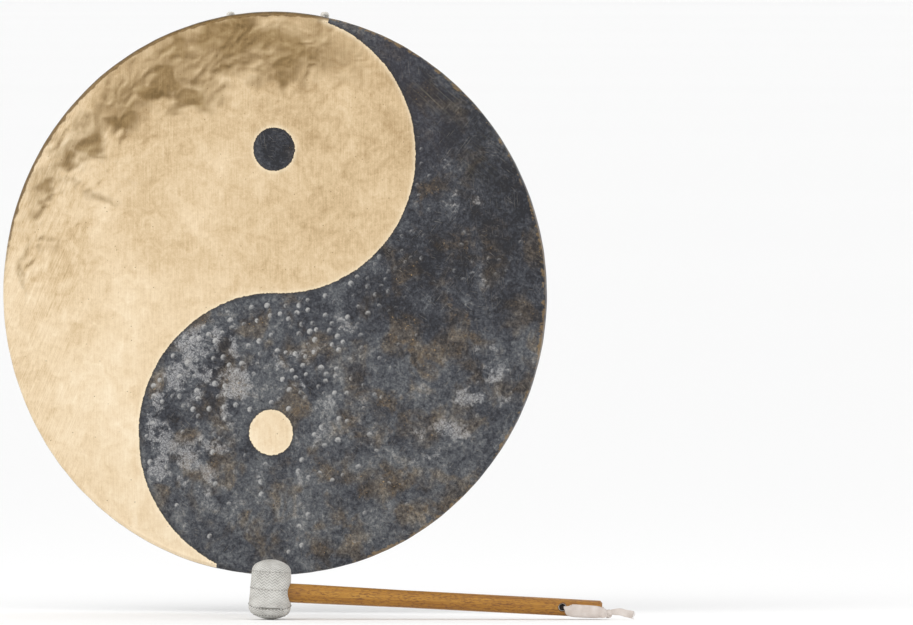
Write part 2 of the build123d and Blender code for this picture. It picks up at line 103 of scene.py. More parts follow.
# the two dots: x, z, radius, noise seed and raggedness of the edge
DOT_UP = (2.3, 156.0, 23.5, 60, 0.22)
DOT_LOW = (-1.1, -150.4, 24.4, 70, 0.42)
CUT_WIDTH = 0.5                                  # width of the cut wall between the two skins
BRIGHT_STEP = 0.32                               # the bright skin lies this much deeper
BRIGHT, DARK, CUT = 0, 1, 2                      # material slots

HOLE_BACK = -FACE_Y                              # cord holes' distance behind the face
HOLE_R = 3.0
UNROLL_R = 302.0                                 # the rim is unrolled at this radius
STRAIGHT_IN, STRAIGHT_BACK = 0.076, 5.87         # inset and depth where the straight rim begins
rim_mid = (RADIUS - STRAIGHT_IN - (HOLE_BACK - STRAIGHT_BACK) * LEAN
           - PLATE / 2 / math.cos(math.radians(10.0)))
HOLE_ANGLE = math.acos(-CENTRE.z * 1000 / rim_mid)   # from the top, each way


# ------------------------------------------------------------------ small tools
@cache
def noise_angles(seed):
    return np.random.default_rng(seed).uniform(-1, 1, (128, 128)) * math.pi


def noise(x, z, cell, seed):
    """Smooth gradient noise, about -1..1, with this cell size."""
    angles = noise_angles(seed)
    n = len(angles)
    u, v = np.asarray(x) / cell + 517.37, np.asarray(z) / cell + 311.71
    i, j = np.floor(u).astype(int), np.floor(v).astype(int)
    du, dv = u - i, v - j
    fade_u = du * du * du * (du * (du * 6 - 15) + 10)
    fade_v = dv * dv * dv * (dv * (dv * 6 - 15) + 10)

    def corner(a, b, p, q):
        angle = angles[a % n, b % n]
        return np.cos(angle) * p + np.sin(angle) * q

    low = corner(i, j, du, dv) * (1 - fade_u) + corner(i + 1, j, du - 1, dv) * fade_u
    high = (corner(i, j + 1, du, dv - 1) * (1 - fade_u)
            + corner(i + 1, j + 1, du - 1, dv - 1) * fade_u)
    return (low * (1 - fade_v) + high * fade_v) * 1.55


def layered_noise(x, z, cell, seed, octaves):
    """Noise with finer layers, each half as strong as the one before."""
    total, strength, strengths = 0.0, 1.0, 0.0
    for k in range(octaves):
        total = total + strength * noise(x, z, cell / 2**k, seed + k)
        strengths += strength
        strength *= 0.5
    return total / strengths


def ease(start, end, x):
    """0 at start, 1 at end, smooth between."""
    t = np.clip((np.asarray(x, float) - start) / (end - start), 0, 1)
    return t * t * (3 - 2 * t)


def hill(x, z, cx, cz, half_x, half_z, high=1.0):
    return high * np.exp(-(((x - cx) / half_x) ** 2) - (((z - cz) / half_z) ** 2))


def hills(x, z, table, start=0.0):
    """The highest of soft hills at each point: x, z, half width, half height, strength."""
    for row in table:
        start = np.maximum(start, hill(x, z, *row))
    return start


def distance_to(x, z, line):
    """Distance from each point to the nearest point of the line."""
    out = np.empty(len(x))
    for k in range(0, len(x), 1000):
        part = slice(k, k + 1000)
        squares = (x[part, None] - line[None, :, 0]) ** 2 + (z[part, None] - line[None, :, 1]) ** 2
        out[part] = np.sqrt(squares.min(1))
    return out


def triangulate(points, polygons, edges=()):
    """Points, triangles, new index of each input point, and the polygons over each triangle."""
    places, _, tris, sources, _, owners = delaunay_2d_cdt(
        [Vector(p) for p in points], list(edges), polygons, 0, 1e-6)
    where = {src: k for k, found in enumerate(sources) for src in found}
    return np.array([(p.x, p.y) for p in places]), tris, where, owners


def triangle_grid(step):
    n = int(RADIUS / step) + 2
    rows = int(n / 0.866)
    i, j = np.meshgrid(np.arange(-n, n + 1), np.arange(-rows - 1, rows + 2))
    return (i + 0.5 * (j % 2)) * step, j * step * 0.866


def new_mesh(name, verts, faces, body):
    mesh = bpy.data.meshes.new(name)
    mesh.from_pydata([tuple(v) for v in verts], [], faces)
    mesh.update()
    ob = bpy.data.objects.new(name, mesh)
    bpy.context.scene.collection.objects.link(ob)
    mesh.polygons.foreach_set("use_smooth", [True] * len(mesh.polygons))
    if body:
        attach(ob, body)
    return ob


def put_attr(ob, name, values):
    attribute = ob.data.attributes.new(name, "FLOAT", "POINT")
    attribute.data.foreach_set("value", np.asarray(values, np.float32))


# ------------------------------------------------------------------ gong: the plan of the face
rng = np.random.default_rng(24)
lobe_gap = math.hypot(LOBE_LOW[0] - LOBE_UP[0], LOBE_LOW[1] - LOBE_UP[1])
JOIN = tuple(LOBE_UP[k] + (LOBE_LOW[k] - LOBE_UP[k]) / lobe_gap * LOBE_UP[2] for k in (0, 1))


def s_curve(step=1.1):
    """The hand-cut S from the top of the rim to the bottom, and its normals to the bright side."""
    line, normals = [], []
    for lobe, side in ((LOBE_UP, -1), (LOBE_LOW, 1)):
        cx, cz, radius = lobe
        join = math.atan2(JOIN[1] - cz, JOIN[0] - cx)
        start, end = (math.pi / 2, join) if side < 0 else (join, 3 * math.pi / 2)
        n = int(radius * abs(end - start) / step)
        for k in range(n if side < 0 else n + 1):
            a = start + (end - start) * k / n
            line.append((cx + radius * math.cos(a), cz + radius * math.sin(a)))
            normals.append((side * math.cos(a), side * math.sin(a)))
    line, normals = np.array(line), np.array(normals)
    s = np.arange(len(line)) * step
    shake = 0.34 * noise(s, s * 0, 3.1, 5) + 0.30 * noise(s, s * 0, 9.0, 6)
    shake = shake + 0.5 * noise(s, s * 0, 45.0, 7)
    return line + normals * shake[:, None], normals


def clip_to_disc(line, radius):
    """The part of an open line inside the disc, its two ends moved onto the disc's edge."""
    inside = np.where(np.hypot(line[:, 0], line[:, 1]) < radius - 0.35)[0]
    first, last = inside[0], inside[-1]

    def crossing(outer, inner):
        low, high = 0.0, 1.0
        for _ in range(40):
            share = (low + high) / 2
            if math.hypot(*(outer * share + inner * (1 - share))) > radius:
                high = share
            else:
                low = share
        point = outer * low + inner * (1 - low)
        return point / math.hypot(*point) * radius

    return np.vstack([crossing(line[first - 1], line[first]), line[first : last + 1],
                      crossing(line[last + 1], line[last])])


s_line, s_normals = s_curve()
dark_line = clip_to_disc(s_line, FLAT_R)
bright_line = clip_to_disc(s_line + s_normals * CUT_WIDTH, FLAT_R)


def dot_ring(dot, grow=0.0):
    cx, cz, radius, seed, ragged = dot
    n = int(TAU * radius / 1.15)
    a = np.arange(n) / n * TAU
    r = radius + grow + ragged * noise(a * 23, a * 0, 2.1, seed)
    r = r + ragged * noise(np.cos(a) * 9, np.sin(a) * 9, 5.0, seed + 1)
    return np.c_[cx + r * np.cos(a), cz + r * np.sin(a)]


# the edge of the disc: even steps, plus the four places where the two lines reach it
line_ends = [math.atan2(q[1], q[0]) % TAU
             for q in (dark_line[0], bright_line[0], dark_line[-1], bright_line[-1])]
even = [k / 720 * TAU for k in range(720)]
edge_angles = sorted(
    [a for a in even
     if min(abs((a - e + math.pi) % TAU - math.pi) for e in line_ends) > 0.0022] + line_ends)
EDGE_ANGLES = np.array(edge_angles)
EDGE_COUNT = len(EDGE_ANGLES)
DARK_TOP, BRIGHT_TOP, DARK_LOW, BRIGHT_LOW = (edge_angles.index(e) for e in line_ends)


def in_dark(x, z):
    """True where the oxide skin is kept, by the drawn circles."""
    def inside(circle):
        return math.hypot(x - circle[0], z - circle[1]) < circle[2]

    if inside(DOT_UP):
        return True
    if inside(DOT_LOW):
        return False
    if z > JOIN[1]:
        return x > LOBE_UP[0] and not inside(LOBE_UP)
    return x > LOBE_LOW[0] or inside(LOBE_LOW)


# extra peen marks, x and z: down the right of the dark side, and faint ones on the bright side
RIGHT_PEENS = (
    (168, 156), (168, 140), (177, 127), (163, 117), (165, 106), (162, 97), (177, 91), (197, 95),
    (146, 62), (157, 67), (146, 46), (150, 34), (205, 25))
FAINT_PEENS = ((-17, 205), (-6, 214), (8, 207), (17, 199), (31, 206), (-20, 181), (3, 96),
               (14, 89), (-30, 148))
PEEN_MARGIN = 6.5                                # from the cut lines


def peen_density(x, z):
    """Dense along the top of the dark lobe, thinner towards the right and the bottom."""
    level = ease(-150, -95, z) * (1 - ease(25, 70, z))
    level = level + 0.30 * ease(-225, -150, z) * (1 - ease(-150, -95, z))
    return float(level * (1 - 0.82 * ease(105, 175, x)) + 0.035)


def peen_places():
    """Peen marks: x, z, radius, strength, angle of the lit side."""
    out = []

    def near(x, z, gap):
        return any((x - p[0]) ** 2 + (z - p[1]) ** 2 < gap * gap for p in out)

    tries = 0
    while len(out) < 292 and tries < 60000:
        tries += 1
        x, z = rng.uniform(-160, 290), rng.uniform(-295, 130)
        if math.hypot(x, z) > 286 or rng.uniform() > peen_density(x, z):
            continue
        if not in_dark(x, z):
            continue
        if np.min(np.hypot(s_line[:, 0] - x, s_line[:, 1] - z)) < PEEN_MARGIN:
            continue
        if any(abs(math.hypot(x - dot[0], z - dot[1]) - dot[2]) < PEEN_MARGIN
               for dot in (DOT_UP, DOT_LOW)):
            continue
        if near(x, z, 7.0 + 7.0 * rng.uniform() ** 2):
            continue
        radius = rng.uniform(2.7, 3.7)
        strength = rng.uniform(0.42, 1.0) * (1 - 0.55 * float(ease(60, 150, x)))
        out.append((x, z, radius, strength, rng.normal(2.3, 0.4)))
    for x, z in RIGHT_PEENS:
        if not near(x, z, 7.4):
            out.append((x, z, 3.0, 0.44, 2.3))
    return out + [(x, z, 2.3, 0.25, 2.0) for x, z in FAINT_PEENS]


def dent_places():
    """Hammer dents: x, z, radius, depth."""
    out = []
    # broad and shallow over the whole plate, deeper in the ring near the rim
    for _ in range(760):
        r = RADIUS * 0.97 * math.sqrt(rng.uniform(0.0, 1.0))
        a = rng.uniform(0, TAU)
        ring = float(ease(190, 245, r))
        out.append((r * math.cos(a), r * math.sin(a), rng.uniform(10, 20),
                    (0.04 + 0.17 * ring) * rng.uniform(0.3, 1.0)))
    # small ridges and pits in the ring, from the top round to the left
    for _ in range(70):
        a = math.radians(rng.uniform(62, 178))
        r = rng.normal(262, 17)
        out.append((r * math.cos(a), r * math.sin(a), rng.uniform(4, 8), rng.uniform(-0.22, 0.26)))
    return out


PEENS = peen_places()
DENTS = dent_places()


def bow(x, z):
    """Broad shape of the whole plate, in mm towards the back."""
    r = np.hypot(x, z)
    return 1.1 * ease(205, 300, r) + 0.35 * layered_noise(x, z, 120, 40, 2) * ease(300, 250, r)


def pillows(x, z):
    """Hammered ground: low lumps, drawn out round the rim and strongest at the upper left."""
    r = np.hypot(x, z)
    angle = np.arctan2(z, x)
    degrees = np.degrees(angle) % 360
    upper_left = ease(50, 85, degrees) * (1 - ease(175, 215, degrees))
    ring = ease(165, 240, r) * (0.20 + 0.80 * upper_left)
    warp_x = 9 * noise(x, z, 40, 140) + 3 * noise(x, z, 13, 141)
    warp_z = 9 * noise(x, z, 40, 142) + 3 * noise(x, z, 13, 143)

    def lump(p, q, cell, seed, soft):
        return np.sqrt(noise(p, q, cell, seed) ** 2 + soft * soft)

    ground = 0.6 * noise(x + warp_x, z + warp_z, 58, 144)
    ground = ground + 0.2 * noise(x + warp_x, z + warp_z, 24, 145)
    p, q = r * 1.3 + warp_x, (angle % TAU) * 262 + warp_z
    ring_lumps = 0.42 * noise(p, q, 62, 154) + 0.44 * lump(p, q, 31, 155, 0.24)
    ring_lumps = ring_lumps + 0.33 * lump(p, q, 16, 156, 0.13) + 0.08 * lump(p, q, 8, 157, 0.08)
    return ((0.1 - ground) * 0.14 + (0.40 - ring_lumps) * ring * 0.92) * 0.58


def relief(x, z):
    """All the hammering, in mm towards the back."""
    dents = np.zeros_like(x)
    for cx, cz, radius, depth in DENTS:
        near = (np.abs(x - cx) < radius) & (np.abs(z - cz) < radius)
        if near.any():
            q = np.clip(1 - ((x[near] - cx) ** 2 + (z[near] - cz) ** 2) / radius**2, 0, 1)
            dents[near] += depth * q * q
    inner = ease(300, 290, np.hypot(x, z))
    return bow(x, z) + (dents + pillows(x, z) + 0.05 * layered_noise(x, z, 14, 50, 3)) * inner


# rings of points in and round a peen mark: share of its radius, number of points
PEEN_RINGS = ((0.0, 1), (0.34, 6), (0.62, 9), (0.82, 12), (0.98, 13), (1.16, 14), (1.42, 13))


def face_plan():
    """Triangulate the face with the S, the two dots and the peen marks as real edges.
    Gives points, triangles, their materials, the edge ring and the sharp edges."""
    points = []

    def add(rows):
        start = len(points)
        points.extend((float(a), float(b)) for a, b in rows)
        return list(range(start, len(points)))

    rim = add(np.c_[np.cos(EDGE_ANGLES), np.sin(EDGE_ANGLES)] * FLAT_R)
    dark_inner, bright_inner = add(dark_line[1:-1]), add(bright_line[1:-1])
    dark_edge = [rim[DARK_TOP]] + dark_inner + [rim[DARK_LOW]]
    bright_edge = [rim[BRIGHT_TOP]] + bright_inner + [rim[BRIGHT_LOW]]

    def arc(i, j):
        """Rim points from index i to j, counter-clockwise."""
        return [rim[k % EDGE_COUNT] for k in range(i, j + 1 if j >= i else j + EDGE_COUNT + 1)]

    bright = arc(BRIGHT_TOP, BRIGHT_LOW) + bright_edge[::-1][1:-1]     # over the left
    dark = dark_edge + arc(DARK_LOW, DARK_TOP)[1:-1]                   # over the right
    dots = [add(dot_ring(dot, grow)) for dot in (DOT_UP, DOT_LOW)
            for grow in (-CUT_WIDTH / 2, CUT_WIDTH / 2)]
    up_in, up_out, low_in, low_out = dots
    polygons = [bright, dark, up_out, up_in, low_out, low_in]
    walls = np.array([points[i] for i in dark_edge + bright_edge + sum(dots, []) + rim])

    for x, z, radius, _, _ in PEENS:
        for share, n in PEEN_RINGS:
            a = np.arange(n) / n * TAU + share * 2
            add(np.c_[x + radius * share * np.cos(a), z + radius * share * np.sin(a)])
    # everything else: a jittered triangular grid, clear of the cut lines
    grid_x, grid_z = triangle_grid(2.6)
    grid_x = (grid_x + rng.uniform(-0.35, 0.35, grid_x.shape)).ravel()
    grid_z = (grid_z + rng.uniform(-0.35, 0.35, grid_z.shape)).ravel()
    keep = np.hypot(grid_x, grid_z) < FLAT_R - 1.4
    for x, z, radius, _, _ in PEENS:
        keep &= np.hypot(grid_x - x, grid_z - z) > radius * 1.42 + 0.9
    keep[keep] = distance_to(grid_x[keep], grid_z[keep], walls) >= math.sqrt(1.1)
    add(np.c_[grid_x[keep], grid_z[keep]])

    places, all_tris, where, owners = triangulate(points, polygons)
    tris, kinds = [], []
    for tri, found in zip(all_tris, owners):
        if 0 in found:                           # the bright polygon
            kind = DARK if 3 in found else CUT if 2 in found else BRIGHT
        elif 1 in found:                         # the dark polygon
            kind = BRIGHT if 5 in found else CUT if 4 in found else DARK
        elif math.hypot(*places[list(tri)].mean(0)) > FLAT_R + 0.01:
            continue
        else:
            kind = CUT
        kinds.append(kind)
        tris.append(list(tri))
    sharp = set()
    for line, after in ((dark_edge, []), (bright_edge, []), *((ring, ring[:1]) for ring in dots)):
        ids = [where[i] for i in line + after]
        sharp |= {(min(pair), max(pair)) for pair in zip(ids, ids[1:])}
    return places, tris, kinds, [where[i] for i in rim], sharp


def coarse_plan(step):
    """A plain disc in the form of face_plan, all dark."""
    points = [(FLAT_R * math.cos(a), FLAT_R * math.sin(a)) for a in EDGE_ANGLES]
    x, z = (grid.ravel() for grid in triangle_grid(step))
    keep = np.hypot(x, z) < FLAT_R - step * 0.6
    points += list(zip(x[keep].tolist(), z[keep].tolist()))
    places, tris, where, _ = triangulate(points, [list(range(EDGE_COUNT))])
    ring = [where[i] for i in range(EDGE_COUNT)]
    return places, [list(tri) for tri in tris], [DARK] * len(tris), ring, set()


# ------------------------------------------------------------------ gong: shells
BEND_DEGREES = (-82, -68, -54, -40, -26, -12, 0, 10)
STRAIGHT_ROWS = (7.4, 10.2, 15.8, 18.6, 21.6, 24.2, DEPTH)     # mm behind the face
HOLE_ROWS = (9, 12)                              # grid rows at 7.4 and 18.6 mm, round the holes
HOLE_SIDES = 28


def rim_profile(depth):
    """(radius, mm behind the face) down the shoulder and along the rim, under the outer skin."""
    bend = SHOULDER - depth
    rows = []
    for degrees in BEND_DEGREES:
        t = math.radians(degrees)
        rows.append((BEND_R + bend * math.cos(t), SHOULDER + bend * math.sin(t)))
    r0, back0 = rows[-1]
    rows += [(r0 - (back - back0) * LEAN, back) for back in STRAIGHT_ROWS]
    if depth == 0:
        rows[-1] = (rows[-1][0] - 0.45, DEPTH)
    return rows


def rim_point(a, r, back):
    """A point of the rim; the hammered outline is slightly out of round."""
    shift = float(bow(FLAT_R * np.cos(a), FLAT_R * np.sin(a)))
    c, s = np.cos(a) * RADIUS, np.sin(a) * RADIUS
    r = r + float(0.28 * noise(c, s, 60, 80) + 0.22 * noise(c, s, 17, 81) - 0.25)
    return (r * math.cos(a), FACE_Y + back + shift * (1 - back / DEPTH), r * math.sin(a))


def rim_surface(verts, depth, edge_ring):
    """Adds the rim's points to verts, from the disc's edge to the rear edge, with two holes.
    Returns the faces, the angle of each, the last ring and the rings of the holes."""
    rows = rim_profile(depth)
    faces, face_angles, hole_rings, opened = [], [], [], set()

    def new(point):
        verts.append(point)
        return len(verts) - 1

    grid = [edge_ring] + [[new(rim_point(a, r, back)) for a in EDGE_ANGLES] for r, back in rows]
    g0, g1 = HOLE_ROWS
    r0, back0 = rows[len(BEND_DEGREES) - 1]
    for side in (1, -1):
        centre = math.pi / 2 - side * HOLE_ANGLE
        columns = [k for k in range(EDGE_COUNT) if abs(EDGE_ANGLES[k] - centre) < 0.026]
        c0, c1 = columns[0], columns[-1]
        opened |= {(g, c) for c in range(c0, c1) for g in range(g0, g1)}
        border = [(g0, c) for c in range(c0, c1 + 1)] + [(g, c1) for g in range(g0 + 1, g1 + 1)]
        border += [(g1, c) for c in range(c1 - 1, c0 - 1, -1)]
        border += [(g, c0) for g in range(g1 - 1, g0, -1)]
        n = len(border)
        flat = [(EDGE_ANGLES[c] * UNROLL_R, rows[g - 1][1]) for g, c in border]
        flat += [(centre * UNROLL_R + HOLE_R * math.cos(t), HOLE_BACK + HOLE_R * math.sin(t))
                 for t in np.arange(HOLE_SIDES) / HOLE_SIDES * TAU]
        places, tris, where, owners = triangulate(
            flat, [list(range(n)), list(range(n, n + HOLE_SIDES))])
        ids = {}
        for i, k in where.items():
            if i < n:
                g, c = border[i]
                ids[k] = grid[g][c]
            else:
                along, back = flat[i]
                ids[k] = new(rim_point(along / UNROLL_R, r0 - (back - back0) * LEAN, back))
        for tri, found in zip(tris, owners):
            if 0 in found and 1 not in found:
                faces.append([ids[i] for i in tri])
                face_angles.append(places[list(tri), 0].mean() / UNROLL_R)
        hole_rings.append([ids[where[i]] for i in range(n, n + HOLE_SIDES)])
    for g in range(len(rows)):
        for c in range(EDGE_COUNT):
            if (g, c) in opened:
                continue
            d = (c + 1) % EDGE_COUNT
            faces.append([grid[g][c], grid[g][d], grid[g + 1][d], grid[g + 1][c]])
            half = 0.5 * ((EDGE_ANGLES[d] - EDGE_ANGLES[c]) % TAU)
            face_angles.append(float(EDGE_ANGLES[c] + half))
    return faces, face_angles, grid[-1], hole_rings


# UV layout: the disc fills a square, quarters of the rim lie beside and above it, and the
# hidden surfaces share a small corner
FLAT_UV = 0.93
QUARTER = TAU / 4


def disc_uv(p):
    scale = FLAT_UV / 2 / (RADIUS + 1)
    return (FLAT_UV / 2 + p[0] * scale, FLAT_UV / 2 + p[2] * scale)


def hidden_uv(p):
    return (0.972 + p[0] / RADIUS * 0.012, 0.972 + p[2] / RADIUS * 0.012)


def rim_uv(p, face_angle):
    a = math.atan2(p[2], p[0]) % TAU
    if a - face_angle > math.pi:
        a -= TAU
    if face_angle - a > math.pi:
        a += TAU
    quarter = int(face_angle / QUARTER) % 4
    t = (a - quarter * TAU / 4) / QUARTER
    v = max(0.0, min(1.0, (p[1] - FACE_Y) / DEPTH))
    across = FLAT_UV + 0.004 + (quarter % 2 + v * 0.9) * 0.032
    return (across, 0.006 + t * 0.95) if quarter < 2 else (0.006 + t * 0.90, across)


def sink_peens(x, y, z):
    """Presses the peen marks into y and returns how strongly each point shows one, a paler worn mark
    with a painted highlight on its lit side.
    """
    shown = np.zeros(len(x))
    for cx, cz, radius, strength, lit_angle in PEENS:
        near = (np.abs(x - cx) < radius * 1.6) & (np.abs(z - cz) < radius * 1.6)
        q = np.hypot(x[near] - cx, z[near] - cz) / radius
        lip = np.exp(-(((q - 1.06) / 0.22) ** 2))
        y[near] += strength * (0.42 * np.clip(1 - q**2, 0, 1) - 0.16 * lip)
        # paler worn metal, with a painted highlight on the lit side of each mark
        lit = 0.5 + 0.5 * np.cos(np.arctan2(z[near] - cz, x[near] - cx) - lit_angle)
        ring = 0.75 * np.exp(-(((q - 0.85) / 0.30) ** 2)) * lit**1.5
        middle = 0.62 * np.exp(-((q / 0.86) ** 4)) * (0.55 + 0.45 * lit)
        shown[near] = np.maximum(shown[near], strength * np.clip(ring + middle, 0, 1))
    return shown


# Patches of the patina, and last those of painted reflection: x, z, half width, half height,
# strength
CHALK = (
    (-92, -58, 20, 26, 1.0), (-108, -92, 16, 22, 1.0), (-72, -86, 30, 18, 0.9),
    (-60, -52, 12, 26, 0.7), (-36, -88, 22, 22, 0.85), (-128, -118, 12, 20, 1.0),
    (-122, -160, 16, 26, 0.95), (-84, -112, 22, 14, 0.7), (-96, -176, 24, 24, 0.9),
    (-66, -168, 26, 16, 0.75), (-52, -126, 18, 20, 0.75), (-104, -204, 26, 22, 0.6),
    (-60, -215, 40, 22, 0.45), (14, -70, 30, 20, 0.42), (52, -64, 26, 16, 0.42),
    (84, -36, 30, 12, 0.36), (46, -148, 26, 18, 0.5), (70, -120, 34, 20, 0.36),
    (96, -142, 28, 16, 0.3), (0, -190, 40, 22, 0.35), (222, -112, 26, 12, 0.95),
    (196, -146, 26, 14, 0.85), (244, -84, 26, 18, 0.75), (178, -176, 22, 12, 0.7),
    (158, -150, 34, 22, 0.5), (236, -60, 30, 14, 0.55), (262, -112, 14, 24, 0.5),
    (206, 34, 46, 26, 0.3), (226, 98, 22, 40, 0.36), (196, 150, 24, 22, 0.3),
    (250, 30, 24, 30, 0.34), (-135, -148, 10, 26, 1.0), (-126, -188, 16, 20, 0.95),
    (-46, -52, 8, 24, 0.9), (-72, -193, 12, 16, 0.8), (-44, -106, 20, 18, 0.85),
    (38, -96, 32, 14, 0.55), (60, -52, 10, 22, 0.5))
WARM = (
    (150, -62, 46, 26, 0.8), (128, -128, 50, 26, 0.75), (92, -196, 70, 26, 0.8),
    (-70, -24, 26, 12, 0.9), (-20, -20, 26, 16, 0.5), (60, -62, 14, 10, 0.9),
    (216, -20, 22, 36, 0.8), (36, -128, 22, 12, 0.9), (-62, -186, 26, 18, 0.8),
    (-92, -148, 14, 22, 0.8), (190, 70, 40, 30, 0.4), (170, 120, 16, 30, 0.7),
    (170, -232, 60, 12, 0.9), (56, -262, 60, 18, 0.7), (-128, -98, 12, 12, 0.8),
    (128, 232, 20, 30, 0.5), (206, -190, 30, 20, 0.5), (4, -236, 40, 20, 0.5))
DIM = (
    (2, 156, 26, 26, 2.2), (-112, -138, 14, 14, 0.9), (-80, -132, 14, 12, 0.8),
    (-50, -60, 20, 14, 0.5), (-116, -60, 8, 14, 0.6), (40, -176, 26, 18, 0.5),
    (-28, -168, 16, 12, 0.6), (30, -20, 60, 12, 0.4), (100, -270, 60, 20, 0.3),
    (274, -40, 16, 60, 0.5))
# painted reflection, olive and brown, where the plate bends back to face up
TAN_REFLECTION = (
    (-34, 277, 66, 24, 0.95), (20, 262, 40, 32, 0.80), (-38, 248, 44, 22, 0.62),
    (12, 234, 42, 14, 0.66), (-106, 266, 32, 22, 0.70), (-118, 232, 30, 22, 0.90),
    (-94, 208, 30, 17, 0.78), (-136, 217, 26, 20, 0.80), (-170, 187, 30, 16, 0.80),
    (-208, 157, 24, 18, 0.75), (-236, 143, 20, 16, 0.66), (-252, 114, 15, 18, 0.66),
    (-264, 98, 12, 22, 0.5), (-192, 105, 24, 8, 0.40), (-223, 114, 18, 12, 0.42),
    (-158, 200, 28, 18, 0.60), (-75, 225, 26, 18, 0.50), (54, 258, 32, 26, 0.45),
    (-74, 250, 26, 22, 0.50), (96, 236, 26, 20, 0.30), (-150, 120, 30, 8, 0.26),
    (-280, 30, 8, 40, 0.45), (-262, 50, 14, 18, 0.35), (-20, 205, 60, 10, 0.22))
# a tan band of painted reflection from the left to the top: x, z, half width, strength
TAN_REFLECTION_BAND = np.array((
    (-290, 60, 8, 0.4), (-271, 116, 13, 0.62), (-242, 144, 19, 0.8), (-203, 178, 25, 0.9),
    (-164, 217, 31, 1.0), (-119, 245, 34, 1.0), (-51, 266, 37, 1.0), (28, 272, 38, 1.0),
    (74, 262, 26, 0.7), (100, 250, 14, 0.3)), float)


def tan_reflection_guide(x, z):
    """Painted reflection: olive and brown patches where the plate bends back, ragged at their edges.
    """
    x, z = (x + 13 * noise(x, z, 30, 150) + 6 * noise(x, z, 11, 151),
            z + 13 * noise(x, z, 30, 152) + 6 * noise(x, z, 11, 153))
    band = np.zeros(len(x))
    for here, there in zip(TAN_REFLECTION_BAND, TAN_REFLECTION_BAND[1:]):
        for q in np.linspace(0, 1, 7)[:-1]:
            cx, cz, width, strength = here * (1 - q) + there * q
            spot = np.exp(-((np.hypot(x - cx, z - cz) / width) ** 4))
            band = np.maximum(band, strength * spot)
    return np.clip(np.maximum(hills(x, z, TAN_REFLECTION), 0.50 * band), 0, 1)


def patina_guides(x, z, front):
    """Point attributes that place the features of the patina and the painted shade, highlights and
    reflections, all from position.
    """
    r = np.hypot(x, z)
    degrees = np.degrees(np.arctan2(z, x)) % 360
    cut_gap = distance_to(x, z, np.concatenate([s_line, dot_ring(DOT_UP), dot_ring(DOT_LOW)]))
    # at the top the S runs on along the rim with no dark side, so there is no cut line there
    no_dark = ease(262, 276, z) * (1 - ease(46, 64, x))
    chalk = hills(x, z, CHALK)
    purple = hill(x, z, 118, 252, 60, 46) + hill(x, z, 170, 176, 36, 50, 0.7)
    upper_right = ease(60, 170, x) * ease(-70, 0, z) * 1.1

    def height(dx, dz):
        return pillows(x + dx, z + dz) + bow(x + dx, z + dz)

    # slope of the hammering between two points 2.8 mm apart, upper left less lower right; the
    # materials paint shade where it faces up and to the left
    reach = 1.4
    rise = height(-0.6 * reach, 0.8 * reach) - height(0.6 * reach, -0.8 * reach)
    # painted shade: a dark band along the rim's shoulder, from the top round to the left, where it
    # faces up
    edge = ease(RADIUS - 6.5, RADIUS - 3.0, r + 1.6 * layered_noise(x, z, 9, 97, 2))
    edge = edge * (0.46 * ease(50, 62, degrees) + 0.54 * ease(70, 92, degrees))
    return {
        "cut": np.exp(-((cut_gap / 2.6) ** 2)) * (1 - no_dark),
        "rim": ease(RADIUS - 8, RADIUS - 0.5, r + 1.6 * layered_noise(x, z, 12, 90, 2)),
        "scr": hill(x, z, 190, 216, 30, 26) + hill(x, z, 232, 150, 34, 40, 0.35),
        "chalk": chalk if front else 0.45 * chalk,
        "warm": hills(x, z, WARM),
        "purple": np.clip(purple, 0, 1),
        "dim": np.clip(hills(x, z, DIM, upper_right), 0, 2),
        "slope_shade": 0.5 + 0.5 * np.clip(rise / (2 * reach) / 0.056, -1, 1),
        "edge": edge * (1 - ease(152, 192, degrees)),
        "tan": tan_reflection_guide(x, z),
    }


